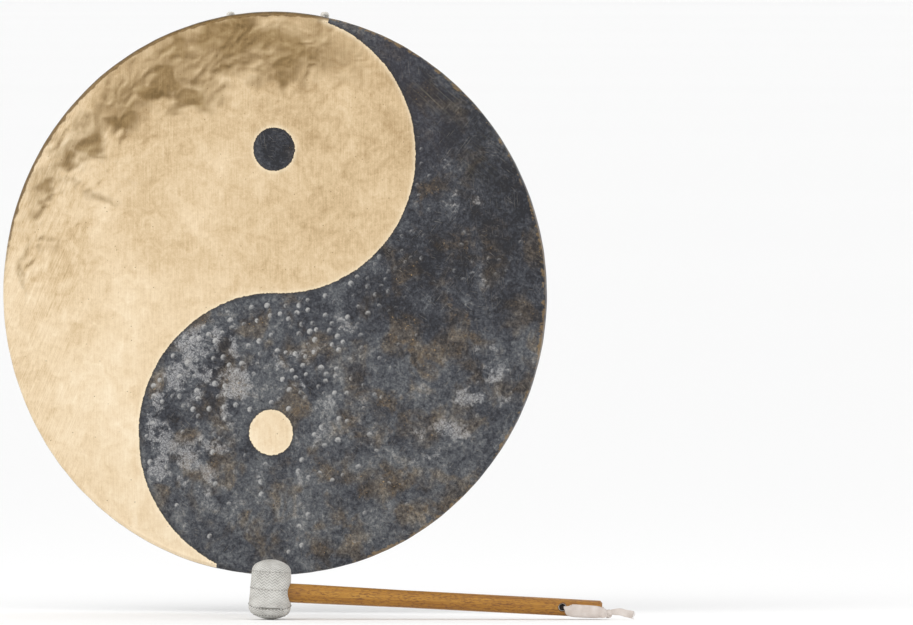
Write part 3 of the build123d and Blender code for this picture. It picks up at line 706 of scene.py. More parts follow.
def shell(name, depth, plan):
    """Half the plate's thickness, closed: a shown skin at this depth and one at mid-plate."""
    front = depth < MID_PLATE
    verts, faces, materials, uvs, borders = [], [], [], [], []

    def add(face, material, uv, flip):
        face = face[::-1] if flip else face
        faces.append(face)
        materials.append(material)
        uvs.extend(uv(verts[i]) for i in face)

    for shown in (True, False):
        places, tris, kinds, ring, _ = plan if shown else coarse_plan(9.0)
        to_front = shown == front
        base = len(verts)
        x, z = places.T
        y = FACE_Y + (depth if shown else MID_PLATE) + relief(x, z)
        if shown:
            peen_and_highlight = np.zeros(len(x))
        if shown and front:
            dark = np.zeros(len(x), bool)
            dark[np.array(tris)[np.array(kinds) == DARK]] = True
            y = y + np.where(dark, 0.0, BRIGHT_STEP)
            peen_and_highlight = sink_peens(x, y, z)
        verts += zip(x, y, z)
        for tri, kind in zip(tris, kinds):
            tri = [base + i for i in tri]
            a, b, c = (verts[i] for i in tri)
            # seen from -Y, x to the right and z up, a face that looks out runs counter-clockwise
            turn = (b[0] - a[0]) * (c[2] - a[2]) - (b[2] - a[2]) * (c[0] - a[0])
            add(tri, kind, disc_uv if shown else hidden_uv, (turn > 0) != to_front)
        rim_faces, angles, last, holes = rim_surface(verts, depth if shown else MID_PLATE,
                                                     [base + i for i in ring])
        borders.append([last] + holes)
        for face, a in zip(rim_faces, angles):
            a %= TAU
            back = sum(verts[i][1] for i in face) / len(face) - FACE_Y
            bright = shown and depth == 0 and line_ends[0] < a < line_ends[2] and back < 3.4
            uv = (lambda p, a=a: rim_uv(p, a)) if shown else hidden_uv
            add(face, BRIGHT if bright else DARK, uv, to_front)
    # close the rear edge and the holes
    for ring_a, ring_b in zip(*borders):
        for i in range(len(ring_a)):
            j = (i + 1) % len(ring_a)
            add([ring_a[i], ring_a[j], ring_b[j], ring_b[i]], DARK, hidden_uv, front)

    x, y, z = np.array(verts, float).T
    world = np.c_[x * MM + CENTRE.x, y * MM, z * MM + CENTRE.z]
    ob = new_mesh(name, world, faces, "gong")
    mesh = ob.data
    mesh.polygons.foreach_set("material_index", materials)
    layer = mesh.uv_layers.new(name="OFBake")
    layer.data.foreach_set("uv", np.array(uvs, np.float32).ravel())
    sharp = plan[4]
    if sharp:
        flags = [tuple(sorted(edge.vertices)) in sharp for edge in mesh.edges]
        mesh.edges.foreach_set("use_edge_sharp", flags)
    put_attr(ob, "peen_and_highlight", np.r_[peen_and_highlight, np.zeros(len(x) - len(peen_and_highlight))])
    for guide, values in patina_guides(x, z, front).items():
        put_attr(ob, guide, values)
    return ob


gong_face = shell("gong_face", 0.0, face_plan())
gong_back = shell("gong_back", PLATE, coarse_plan(4.2))
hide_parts("gong_disc")
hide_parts("gong_disc")


# ------------------------------------------------------------------ material builder
class Value:
    """A shader socket; adding, subtracting or multiplying it makes a Math node."""

    def __init__(self, material, socket):
        self.material, self.socket = material, socket

    def __add__(self, other):
        return self.material.math("ADD", self, other)

    def __radd__(self, other):
        return self.material.math("ADD", other, self)

    def __sub__(self, other):
        return self.material.math("SUBTRACT", self, other)

    def __rsub__(self, other):
        return self.material.math("SUBTRACT", other, self)

    def __mul__(self, other):
        return self.material.math("MULTIPLY", self, other)


def rgb(r, g, b):
    """sRGB 0-255 to linear."""
    return tuple((c / 255 / 12.92) if c / 255 <= 0.04045 else ((c / 255 + 0.055) / 1.055) ** 2.4
                 for c in (r, g, b))


class Mat:
    """A small builder for node materials; lengths are in mm."""

    INPUTS = {"color": "Base Color", "rough": "Roughness", "metal": "Metallic",
              "normal": "Normal", "spec": "Specular IOR Level", "aniso": "Anisotropic",
              "coat": "Coat Weight", "coat_rough": "Coat Roughness"}

    def __init__(self, name):
        self.material = bpy.data.materials.new(name)
        self.material.use_nodes = True
        self.tree = self.material.node_tree
        self.tree.nodes.clear()
        output = self.tree.nodes.new("ShaderNodeOutputMaterial")
        self.shader = self.tree.nodes.new("ShaderNodeBsdfPrincipled")
        self.tree.links.new(self.shader.outputs[0], output.inputs[0])
        self.coords = self.node("TexCoord", {}, "Object")

    def put(self, socket, value):
        if isinstance(value, Value):
            self.tree.links.new(value.socket, socket)
        else:
            socket.default_value = (*value, 1.0) if socket.type == "RGBA" else value

    def node(self, kind, inputs, output=0, **settings):
        node = self.tree.nodes.new("ShaderNode" + kind)
        for key, value in settings.items():
            setattr(node, key, value)
        for key, value in inputs.items():
            self.put(node.inputs[key], value)
        return Value(self, node.outputs[output])

    def set(self, **values):
        for key, value in values.items():
            self.put(self.shader.inputs[self.INPUTS[key]], value)

    def math(self, operation, a, b=0.0):
        return self.node("Math", {0: a, 1: b, 2: 0.0}, operation=operation)

    def highest(self, *values):
        return reduce(lambda a, b: self.math("MAXIMUM", a, b), values)

    def mix(self, share, a, b):
        return self.node("Mix", {0: share, 6: a, 7: b}, 2, data_type="RGBA", clamp_factor=True)

    def ramp(self, value, *stops, linear=False):
        """Colour ramp with stops (position, r, g, b), in sRGB 0-255 unless linear."""
        out = self.node("ValToRGB", {0: value})
        elements = out.socket.node.color_ramp.elements
        while len(elements) < len(stops):
            elements.new(0.5)
        for element, (position, *color) in zip(elements, stops):
            element.position = position
            element.color = (*(color if linear else rgb(*color)), 1.0)
        return out

    def step(self, value, start, end, low=0.0, high=1.0):
        """Smooth change from low to high as the value goes from start to end."""
        return self.node("MapRange", {0: value, 1: start, 2: end, 3: low, 4: high},
                         interpolation_type="SMOOTHSTEP")

    def place(self, size=(1, 1, 1), turn=(0, 0, 0), move=(0, 0, 0), heading=0.0):
        """Object coordinates in mm, turned, moved, and divided by size."""
        out = self.node("Mapping", {"Scale": (1000.0,) * 3, "Rotation": (0.0, 0.0, heading),
                                    "Vector": self.coords})
        out = self.node("Mapping", {"Vector": out, "Location": move, "Rotation": turn})
        return self.node("Mapping", {"Vector": out, "Scale": tuple(1 / s for s in size)})

    def noise(self, coords, size=1.0, detail=2.0, rough=0.5, distort=0.0):
        return self.node("TexNoise", {"Vector": coords, "Scale": 1 / size, "Detail": detail,
                                      "Roughness": rough, "Distortion": distort})

    def attr(self, name):
        return self.node("Attribute", {}, "Fac", attribute_name=name)

    def bump(self, height, strength, distance):
        return self.node("Bump", {"Strength": strength, "Distance": distance, "Height": height})

    def split(self, coords):
        node = self.node("SeparateXYZ", {0: coords}).socket.node
        return [Value(self, socket) for socket in node.outputs]


# ------------------------------------------------------------------ bronze
# fine scratches: degrees, width, length, threshold, full strength, shift, size of patches
SCRATCHES = (
    (-38, 0.55, 22.0, 0.66, 0.72, (13, 0, 7), 62.0), (52, 0.6, 17.0, 0.66, 0.72, (71, 0, 33), 50.0),
    (8, 0.5, 26.0, 0.67, 0.73, (5, 0, 91), 70.0), (80, 0.6, 13.0, 0.67, 0.73, (151, 0, 19), 46.0))
# longer ones at the upper right, not in patches
LONG_SCRATCHES = ((49, 0.5, 90.0, 0.63, 0.70, (23, 0, 57)), (55, 0.5, 60.0, 0.65, 0.72, (93, 0, 17)))


def scratches(m, degrees, width, length, start, end, move, patch=None):
    """Fine straight scratches that run along one direction of the face."""
    coords = m.place(size=(width, inf, length), turn=(0, math.radians(degrees), 0), move=move)
    lines = m.step(m.noise(coords, detail=1), start, end)
    if patch:
        patches = m.noise(m.place(size=(patch, inf, patch), move=move), detail=1)
        lines = lines * m.step(patches, 0.50, 0.62)
    return lines


def dark_bronze():
    m = Mat("bronze_dark_oxide")
    p = m.place()
    big = m.noise(p, size=95, detail=2)
    hue = m.noise(m.place(move=(33, 5, 71)), size=38, detail=3, rough=0.6, distort=0.5)
    mid = m.noise(p, size=24, detail=4, rough=0.62, distort=0.6)
    fine = m.noise(p, size=8, detail=4, rough=0.7, distort=0.4)
    grain = m.noise(p, size=2.2, detail=3, rough=0.75)
    crisp = m.noise(m.place(move=(17, 4, 29)), size=4.2, detail=3, rough=0.68, distort=0.3)
    dust = m.noise(m.place(move=(3, 9, 4)), size=1.1, detail=2, rough=0.7)
    warm, dim, slope_shade = m.attr("warm"), m.attr("dim"), m.attr("slope_shade")
    # mottled tone, in cool and brown patches, with painted shade where the hammered relief faces up
    # and to the left
    tone = ((big - 0.5) * 0.45 + (mid - 0.5) * 0.88 + (fine - 0.5) * 0.60 + (crisp - 0.5) * 0.95
            + (grain - 0.5) * 0.70 + (0.5 - slope_shade) * 0.22 + (0.425 - dim * 0.19))
    cool = m.ramp(tone, (0.04, 27, 28, 34), (0.26, 51, 53, 60), (0.46, 79, 82, 87),
                  (0.62, 103, 105, 107), (0.80, 140, 140, 139), (1.0, 186, 184, 180))
    brown = m.ramp(tone, (0.04, 30, 26, 26), (0.26, 56, 51, 48), (0.46, 87, 81, 75),
                   (0.62, 112, 106, 97), (0.80, 148, 141, 130), (1.0, 190, 184, 172))
    color = m.mix(m.step(hue + dim * -0.01 + warm * 0.12, 0.48, 0.66), cool, brown)
    # chalky deposits with ragged edges and a grainy inside
    spread = m.attr("chalk") * 0.74 + (fine - 0.5) * 1.5 + (mid - 0.5) * 1.3
    gritty = m.step(grain * 0.6 + dust * 0.4, 0.40, 0.60)
    chalky = m.step(spread, 0.36, 0.64) * (gritty * 0.70 + 0.18)
    color = m.mix(chalky, color, m.ramp(dust, (0.25, 122, 124, 129), (0.75, 190, 189, 188)))
    # brown and ochre stains, and a purple tint
    stain = m.step(hue * 0.5 + fine * 0.9, 0.72, 0.88) * (warm * 0.85 + 0.12)
    ochre = m.ramp(grain, (0.3, 72, 60, 48), (0.55, 106, 86, 60), (0.8, 142, 116, 78))
    color = m.mix(stain * 0.66, color, ochre)
    color = m.mix(m.attr("purple") * 0.42, color, rgb(50, 47, 56))
    # golden specks where the skin is worn through
    speck = m.step(m.noise(m.place(), size=2.4, detail=3, rough=0.78), 0.645, 0.70)
    speck = speck * m.step(hue + warm * 0.20, 0.56, 0.68)
    color = m.mix(speck * 0.80, color, rgb(192, 160, 112))
    # black pits and cracks
    pit = m.noise(m.place(move=(50, 3, 8)), size=3.6, detail=3, rough=0.72)
    pit = m.step(pit, 0.33, 0.40, 1.0, 0.0)
    color = m.mix(pit * 0.62, color, rgb(24, 24, 30))
    # pale scratches
    short = m.highest(*(scratches(m, *row) for row in SCRATCHES))
    color = m.mix(short * 0.36, color, rgb(176, 170, 158))
    long = m.highest(*(scratches(m, *row) for row in LONG_SCRATCHES))
    color = m.mix(long * m.attr("scr") * 0.55, color, rgb(152, 146, 122))
    # peen marks: paler worn metal, with a painted highlight on their lit side
    peen_and_highlight = m.step(m.attr("peen_and_highlight") + (grain - 0.5) * 0.45, 0.14, 0.80)
    color = m.mix(peen_and_highlight * 0.86, color, m.ramp(dust, (0.3, 154, 154, 154), (0.7, 204, 203, 200)))
    # a thin painted shadow line along the cut edge, and the rim worn to metal
    color = m.mix(m.attr("cut") * 0.62, color, rgb(38, 36, 38))
    rim = m.attr("rim") + (fine - 0.5) * 1.9 + (big - 0.5) * 1.2 + (grain - 0.5) * 0.8
    rim = m.step(rim, 0.92, 1.14)
    color = m.mix(rim * 0.55, color, rgb(150, 124, 84))
    wear = m.highest(rim * 0.7, speck, peen_and_highlight * 0.5)
    height = fine * 0.7 + grain * 0.35 + chalky * 0.2 + short * -0.25 + pit * -0.35
    m.set(color=color, metal=wear * 0.45 + 0.28, spec=0.45,
          rough=(fine - 0.5) * 0.5 + (0.55 - wear * 0.16),
          normal=m.bump(height, strength=0.6, distance=0.0006))
    return m.material


def scraped_color(m, p, x, z, mid, fine, brush, pits):
    big = m.noise(p, size=110, detail=2)
    grain = m.noise(p, size=1.2, detail=2, rough=0.7)
    slope_shade = m.attr("slope_shade")
    tilt_shade = slope_shade - 0.5
    # paler towards the lower left, a little darker to the upper right, with painted shade where the
    # hammered relief faces up and to the left
    lower_left = m.step(x * -0.5 + (z + 298.0) * -1.0, -330.0, 330.0)
    tone = (0.29 + lower_left * 0.30 + (big - 0.5) * 0.40 + (mid - 0.5) * 0.50 + brush * 0.38
            + (fine - 0.5) * 0.36 + tilt_shade * -0.34 + (grain - 0.5) * 0.24)
    color = m.ramp(tone, (0.10, 176, 148, 108), (0.34, 213, 188, 150), (0.54, 231, 209, 175),
                   (0.76, 244, 227, 198), (1.0, 252, 241, 220))
    # painted reflection: olive-brown where the plate bends back, with painted shade and light from
    # the hammered relief
    olive_reflection = m.attr("tan") * 1.25 + tilt_shade * 0.36 + (mid - 0.5) * 0.42 + (fine - 0.5) * 0.62
    shade = mid * 0.45 + fine * 0.40 + (0.5 - slope_shade) * 0.62 + brush * 0.25 + 0.06
    shades = m.ramp(shade, (0.20, 104, 82, 48), (0.42, 138, 112, 72), (0.60, 163, 138, 97),
                    (0.84, 200, 176, 134))
    color = m.mix(m.step(olive_reflection, 0.16, 0.94) * 0.90, color, shades)
    # painted shade: thin dark lines between the pillows, where the relief faces up and to the left
    # most steeply
    painted_crease_shade = m.step(slope_shade + (fine - 0.5) * 0.5, 0.80, 1.02) * 0.42
    color = m.mix(painted_crease_shade, color, rgb(126, 100, 62))
    color = m.mix(pits * 0.60, color, rgb(120, 92, 56))
    # faint peen marks, darker, shaped by the painted highlight of their lit side
    color = m.mix(m.attr("peen_and_highlight") * 0.6, color, rgb(176, 146, 106))
    # painted shade: the dark brown band along the rim's shoulder at the top and left
    band = m.step(m.attr("edge") + (fine - 0.5) * 0.9, 0.25, 0.75)
    color = m.mix(band * 0.86, color, m.ramp(fine, (0.3, 70, 52, 30), (0.7, 124, 98, 58)))
    # a thin painted highlight along the cut edge on the bright side
    return m.mix(m.attr("cut") * 0.50, color, rgb(250, 236, 208))


def gold_bronze(name, cut_edge=False):
    m = Mat(name)
    p = m.place()
    mid = m.noise(p, size=20, detail=4, rough=0.6, distort=0.8)
    fine = m.noise(p, size=5, detail=4, rough=0.7, distort=0.4)
    # hand brushing: short strokes up and down, and steep diagonals at the left
    short = m.noise(m.place(size=(0.9, inf, 26)), detail=2, rough=0.65)
    long = m.noise(m.place(size=(2.6, inf, 70), move=(40, 0, 11)), detail=2, rough=0.6)
    slant = m.place(size=(1.1, inf, 40), turn=(0, math.radians(-24), 0), move=(7, 0, 3))
    slant = m.noise(slant, detail=2, rough=0.6)
    x, _, z = m.split(p)
    left = m.step(x, -255.0, -170.0, 1.0, 0.0)
    brush = (short - 0.5) * 0.9 + (long - 0.5) * 0.30 + (slant - 0.5) * left * 1.5
    pits = m.node("TexVoronoi", {"Vector": p, "Scale": 1 / 8.0}, "Distance")
    pits = m.step(pits, 0.060, 0.105, 1.0, 0.0)
    pits = pits * m.step(m.noise(m.place(move=(3, 0, 8)), size=20, detail=1), 0.48, 0.58)
    if cut_edge:
        jagged = m.step(m.noise(p, size=2.4, detail=2, rough=0.7), 0.44, 0.58)
        color = m.mix(jagged, rgb(84, 66, 46), rgb(246, 228, 190))
    else:
        color = scraped_color(m, p, x, z, mid, fine, brush, pits)
    height = brush * 0.42 + fine * 0.8 + mid * 1.6 + pits * -0.5
    m.set(color=color, metal=0.84, rough=0.42 + brush * 0.14 + (fine - 0.5) * 0.2, aniso=0.3,
          normal=m.bump(height, strength=0.45, distance=0.0006))
    return m.material


bronzes = [gold_bronze("bronze_scraped"), dark_bronze(), gold_bronze("bronze_cut_edge", True)]
for ob in (gong_face, gong_back):
    for material in bronzes:
        ob.data.materials.append(material)


# ------------------------------------------------------------------ sweeps
def path_lengths(path):
    return np.r_[0, np.cumsum(np.linalg.norm(np.diff(path, axis=0), axis=1))]


def frames(path):
    """The path, its unit tangents, and a twist-free pair of side vectors."""
    path = np.asarray(path, float)
    tangents = np.gradient(path, axis=0)
    tangents /= np.linalg.norm(tangents, axis=1)[:, None]
    side = np.array([0.0, 0.0, 1.0] if abs(tangents[0][2]) < 0.9 else [1.0, 0.0, 0.0])
    sides = []
    for tangent in tangents:
        side = side - tangent * np.dot(side, tangent)
        side /= np.linalg.norm(side)
        sides.append(side)
    sides = np.array(sides)
    return path, tangents, sides, np.cross(tangents, sides)


def resample(path, step):
    path = np.asarray(path, float)
    lengths = path_lengths(path)
    even = np.linspace(0, lengths[-1], max(3, int(lengths[-1] / step) + 1))
    return np.array([np.interp(even, lengths, column) for column in path.T]).T, even


def catmull(points, n=10):
    """A smooth curve through the points; any number of columns."""
    p = np.asarray(points, float)
    p = np.vstack([2 * p[0] - p[1], p, 2 * p[-1] - p[-2]])
    out = []
    for i in range(1, len(p) - 2):
        a, b, c, d = p[i - 1 : i + 3]
        for k in range(n):
            t = k / n
            out.append(0.5 * (2 * b + (c - a) * t + (2 * a - 5 * b + 4 * c - d) * t * t
                              + (3 * b - a - 3 * c + d) * t**3))
    out.append(p[-2])
    return np.array(out)


class Parts:
    """Collects closed sweeps into one mesh, mm."""

    def __init__(self):
        self.verts, self.faces, self.along, self.around = [], [], [], []

    def rings(self, rings, along, closed=False, around=None):
        """Joins the rings, with a cap at each end unless they close into a loop."""
        base, n, m = len(self.verts), len(rings[0]), len(rings)
        for k, ring in enumerate(rings):
            self.verts += [tuple(q) for q in ring]
            self.along += [float(along[k])] * n
            self.around += list(around) if around is not None else [j / n for j in range(n)]
        for k in range(m if closed else m - 1):
            i0, i1 = base + k * n, base + ((k + 1) % m) * n
            for j in range(n):
                j2 = (j + 1) % n
                self.faces.append((i0 + j, i0 + j2, i1 + j2, i1 + j))
        for k, flip in () if closed else ((0, True), (m - 1, False)):
            self.verts.append(tuple(np.mean(rings[k], axis=0)))
            self.along.append(float(along[k]))
            self.around.append(0.0)
            pole = len(self.verts) - 1
            for j in range(n):
                i, i2 = base + k * n + j, base + k * n + (j + 1) % n
                self.faces.append((pole, i2, i) if flip else (pole, i, i2))

    def tube(self, path, radius, sides=8):
        path, _, side, other = frames(path)
        radii = np.broadcast_to(np.asarray(radius, float), (len(path),))
        a = np.arange(sides) / sides * TAU
        rings = [path[k] + radii[k] * (np.outer(np.cos(a), side[k]) + np.outer(np.sin(a), other[k]))
                 for k in range(len(path))]
        self.rings(rings, path_lengths(path))

    def make(self, name, body, slot):
        ob = new_mesh(name, np.array(self.verts) * MM, self.faces, body)
        bm = bmesh.new()
        bm.from_mesh(ob.data)
        bmesh.ops.recalc_face_normals(bm, faces=bm.faces)
        bm.to_mesh(ob.data)
        bm.free()
        put_attr(ob, "along", self.along)
        put_attr(ob, "around", self.around)
        return ob


ROPE_PITCH = 15.0


def rope(parts, path, radius, step=1.1, turn=0.0):
    """Three twisted strands round a path."""
    path, lengths = resample(path, step)
    path, _, side, other = frames(path)
    for k in range(3):
        a = lengths / ROPE_PITCH * TAU + turn + k * TAU / 3
        swing = np.cos(a)[:, None] * side + np.sin(a)[:, None] * other
        parts.tube(path + radius * 0.47 * swing, radius * 0.56)


def trefoil(t):
    """Two coordinates across an overhand knot and one along it."""
    return np.sin(t) + 2 * np.sin(2 * t), np.cos(t) - 2 * np.cos(2 * t), -np.sin(3 * t)


# ------------------------------------------------------------------ the beater's own frame
# u runs along the shaft away from the head, y level across it, v up the head, mm
grip = next(m for m in frame["record"]["mounts"] if m["name"] == "mallet_grip")
GRIP_U = 222.0
SHAFT = np.array(grip["axis"], float)
SHAFT /= np.linalg.norm(SHAFT)
TURN = math.atan2(SHAFT[1], SHAFT[0])
LEVEL = np.array([math.cos(TURN), math.sin(TURN), 0.0])     # the shaft's direction on the floor
ACROSS = np.array([-math.sin(TURN), math.cos(TURN), 0.0])
UP = np.cross(SHAFT, ACROSS)
HEAD = np.array(grip["pos_m"]) * 1000 - GRIP_U * SHAFT


def at(u, y, v):
    """Beater coordinates to the product's frame, mm."""
    u, y, v = np.broadcast_arrays(np.asarray(u, float), np.asarray(y, float), np.asarray(v, float))
    return HEAD + u[..., None] * SHAFT + y[..., None] * ACROSS + v[..., None] * UP


# ------------------------------------------------------------------ cloth panels of the head
TOP, BOTTOM = 34.7, -29.5
TOP_R, LOW_R = 20.9, 21.6                        # the sleeve's radii at its upper and lower end
SLEEVE_END = -16.8
CAP_R, CAP_V = 22.7, -17.0                       # lower cap: radius, and where its dome begins
SHEET_R = 21.3                                   # the sleeve is unrolled at this radius
SHAFT_HOLE = 10.55
# seams: height where y = 0, and the tilt in degrees towards +y
SEAM_UP, SEAM_MID, SEAM_LOW = (21.8, 0.0), (4.0, 4.0), (-12.2, 13.5)


def sleeve_r(v):
    return LOW_R + (TOP_R - LOW_R) * (v - SLEEVE_END) / (SEAM_UP[0] - SLEEVE_END)


def seam_v(seam, a, r):
    return seam[0] + r * np.sin(a) * math.tan(math.radians(seam[1]))


def dome_rows(r0, v0, apex, corner, n=22):
    """(radius, height) rows of a rounded end: a corner arc, then a flatter arc to the apex."""
    up = 1 if apex > v0 else -1
    high, inner_r = abs(apex - v0), r0 - corner
    down = ((high - corner) ** 2 - inner_r * inner_r) / (2 * (high - corner))
    flat_r = high - down
    flat_angle = math.atan2(inner_r, -down)
    corner_len, flat_len = corner * (math.pi / 2 - flat_angle), flat_r * flat_angle
    rows = []
    for k in range(n + 1):
        q = (corner_len + flat_len) * k / n
        if q <= corner_len:
            t = math.pi / 2 - q / corner
            rows.append((inner_r + corner * math.sin(t), v0 + up * corner * math.cos(t)))
        else:
            t = flat_angle * (1 - (q - corner_len) / flat_len)
            rows.append((flat_r * math.sin(t), v0 + up * (down + flat_r * math.cos(t))))
    return rows


def cap_panel(rows, columns):
    """Open cap from (radius, height) rows, closed by a pole; a height may vary round the row."""
    verts, faces = [], []
    a = np.arange(columns) / columns * TAU
    for r, v in rows[:-1]:
        verts += list(np.c_[r * np.cos(a), r * np.sin(a), np.broadcast_to(v, a.shape)])
    pole = len(verts)
    verts.append((0.0, 0.0, rows[-1][1]))
    last = (len(rows) - 2) * columns
    for base in range(0, last + 1, columns):
        for j in range(columns):
            i, i2 = base + j, base + (j + 1) % columns
            faces.append((i, i2, pole) if base == last else (i, i2, i2 + columns, i + columns))
    return np.array(verts), faces


def sleeve_sheet():
    """The unrolled sleeve, triangulated, with the shaft's hole and the middle seam as edges."""
    half = math.pi * SHEET_R
    points = []

    def add(rows):
        start = len(points)
        points.extend(rows)
        return list(range(start, len(points)))

    angles = np.linspace(-math.pi, math.pi, 105)
    low = add([(a * SHEET_R, SLEEVE_END) for a in angles])
    top = add([(a * SHEET_R, SEAM_UP[0]) for a in angles])
    mid = add([(a * SHEET_R, float(seam_v(SEAM_MID, a, SHEET_R))) for a in angles])
    mid_v = float(seam_v(SEAM_MID, math.pi, SHEET_R))
    heights = [v for v in np.linspace(SLEEVE_END, SEAM_UP[0], 31)[1:-1] if abs(v - mid_v) > 0.7]
    left = add([(-half, v) for v in heights]) + [mid[0]]
    right = add([(half, v) for v in heights]) + [mid[-1]]
    left.sort(key=lambda i: points[i][1])
    right.sort(key=lambda i: points[i][1])
    outline = low + right + top[::-1] + left[::-1]
    hole = []
    for t in np.arange(56) / 56 * TAU:
        v = SHAFT_HOLE * math.sin(t)
        hole.append((math.asin(SHAFT_HOLE * math.cos(t) / float(sleeve_r(v))) * SHEET_R, v))
    hole = add(hole)
    step = 1.3
    jitter = np.random.default_rng(8)
    for j, v in enumerate(np.arange(SLEEVE_END + 1.2, SEAM_UP[0] - 0.8, step * 0.866)):
        for s in np.arange(-half + 1.0 + (j % 2) * 0.65, half - 0.8, step):
            q = (s + jitter.uniform(-0.1, 0.1), v + jitter.uniform(-0.1, 0.1))
            if abs(q[1] - seam_v(SEAM_MID, q[0] / SHEET_R, SHEET_R)) < 0.6:
                continue
            y = SHEET_R * math.sin(q[0] / SHEET_R)
            if abs(q[0]) < 24 and math.hypot(y, q[1]) < SHAFT_HOLE + 0.75:
                continue
            points.append(q)
    places, tris, _, owners = triangulate(points, [outline, hole], zip(mid, mid[1:]))
    return places, [t for t, found in zip(tris, owners) if 0 in found and 1 not in found]


def sleeve_panel(places, tris, upper):
    """One side of the middle seam, rolled up and joined where the sheet's two sides meet."""
    a = places[:, 0] / SHEET_R
    r = sleeve_r(places[:, 1])
    rolled = np.c_[r * np.cos(a), r * np.sin(a), places[:, 1]]
    chosen = []
    for tri in tris:
        s, v = places[list(tri)].mean(0)
        if (v > seam_v(SEAM_MID, s / SHEET_R, SHEET_R)) == upper:
            chosen.append(tri)
    used = sorted({i for tri in chosen for i in tri})
    verts = rolled[used]
    known, remap, keep = {}, {}, []
    for k, q in enumerate(np.round(verts, 3)):
        key = tuple(q + 0.0)
        if abs(q[0] + sleeve_r(q[2])) < 0.02 and abs(q[1]) < 0.02:
            key = ("join", round(float(q[2]), 2))
        if key not in known:
            known[key] = len(keep)
            keep.append(k)
        remap[used[k]] = known[key]
    return verts[keep], [[remap[i] for i in tri] for tri in chosen]


def build_panels():
    """Four open cloth panels: points (u, y, v) and faces."""
    a = np.arange(112) / 112 * TAU
    # the lower cap has a side band under the tilted seam
    band = [(CAP_R, (1 - k / 7) * seam_v(SEAM_LOW, a, CAP_R) + k / 7 * CAP_V) for k in range(7)]
    sheet = sleeve_sheet()
    return {
        "cover_cap_upper": cap_panel(dome_rows(TOP_R, SEAM_UP[0] + 0.1, TOP, 9.5), 104),
        "cover_cap_lower": cap_panel(band + dome_rows(CAP_R, CAP_V, BOTTOM, 8.5), 112),
        "cover_sleeve_upper": sleeve_panel(*sheet, True),
        "cover_sleeve_lower": sleeve_panel(*sheet, False),
    }


def border_of(faces):
    """Directed edges that belong to one face only."""
    seen = {}
    for face in faces:
        for a, b in zip(face, list(face[1:]) + [face[0]]):
            seen.setdefault((min(a, b), max(a, b)), []).append((a, b))
    return [found[0] for found in seen.values() if len(found) == 1]


CLOTH = dict(quality=6, mass=0.25, tension_stiffness=14, compression_stiffness=14,
             shear_stiffness=6, bending_stiffness=0.25, tension_damping=8,
             compression_damping=8, air_damping=3, use_pressure=True,
             uniform_pressure_force=4.0, vertex_group_mass="sewn", shrink_min=-0.045)
CLOTH_FRAMES = 20


def puff(panels):
    """Cloth simulation of the panels, sewn down at their edges; how far each point moved, mm."""
    scale = 0.01                                 # worked at ten times real size
    verts, faces, pinned, parts = [], [], [], {}
    for name, (points, panel_faces) in panels.items():
        base = len(verts)
        parts[name] = slice(base, base + len(points))
        verts += [tuple(q * scale) for q in points]
        faces += [[base + i for i in face] for face in panel_faces]
        pinned += sorted({base + i for edge in border_of(panel_faces) for i in edge})
    ob = new_mesh("cloth_work", verts, faces, "mallet")
    ob.vertex_groups.new(name="sewn").add(pinned, 1.0, "REPLACE")
    cloth = ob.modifiers.new("cloth", "CLOTH")
    for key, value in CLOTH.items():
        setattr(cloth.settings, key, value)
    cloth.settings.effector_weights.gravity = 0
    cloth.collision_settings.use_collision = False
    cloth.collision_settings.use_self_collision = False
    cloth.point_cache.frame_start, cloth.point_cache.frame_end = 1, CLOTH_FRAMES
    scene = bpy.context.scene
    for k in range(1, CLOTH_FRAMES + 1):
        scene.frame_set(k)
    result = ob.evaluated_get(bpy.context.evaluated_depsgraph_get()).data
    places = np.empty(len(verts) * 3)
    result.vertices.foreach_get("co", places)
    moved = (places.reshape(-1, 3) - np.array(verts)) / scale
    scene.frame_set(1)
    bpy.data.objects.remove(ob)
    return {name: moved[part] for name, part in parts.items()}


def vertex_normals(verts, faces):
    out = np.zeros_like(verts)
    for face in faces:
        p = verts[list(face)]
        cross = (np.cross(p[1] - p[0], p[2] - p[0]) if len(face) == 3
                 else np.cross(p[2] - p[0], p[3] - p[1]))
        for i in face:
            out[i] += cross
    return out / np.maximum(np.linalg.norm(out, axis=1), 1e-9)[:, None]


# seam, stitches round it, strength of its groove, panels it joins
SEAM_PULLS = (
    (SEAM_UP, 36, 0.30, ("cover_cap_upper", "cover_sleeve_upper")),
    (SEAM_MID, 36, 0.26, ("cover_sleeve_upper", "cover_sleeve_lower")),
    (SEAM_LOW, 38, 0.22, ("cover_cap_lower", "cover_sleeve_lower")))


def pull(verts, name):
    """Puckers by the seams and soft folds of the cloth, mm along the normal."""
    a, r, v = np.arctan2(verts[:, 1], verts[:, 0]), np.hypot(verts[:, 0], verts[:, 1]), verts[:, 2]
    out = np.zeros(len(verts))
    for seam, count, strength, names in SEAM_PULLS:
        if name not in names:
            continue
        gap = np.abs(v - seam_v(seam, a, r))
        wave = np.cos(a * count + math.pi)       # stitches sit at (i + 0.5) / count of a turn
        out += -strength * 0.22 * np.exp(-((gap / 1.3) ** 2))
        out += 0.20 * wave * np.exp(-((gap / 2.0) ** 2))
        uneven = 0.30 * noise(a * 9.0, gap * 0 + seam[0], 1.0, 300 + count)
        out += uneven * np.exp(-((gap / 4.2) ** 2)) * (1 - np.exp(-((gap / 0.8) ** 2)))
    # loose cloth: long soft folds, mostly running down
    return out + 0.15 * noise(a * 3.0, v / 20, 1.0, 321) + 0.07 * noise(a * 8.2, v / 9, 1.0, 322)


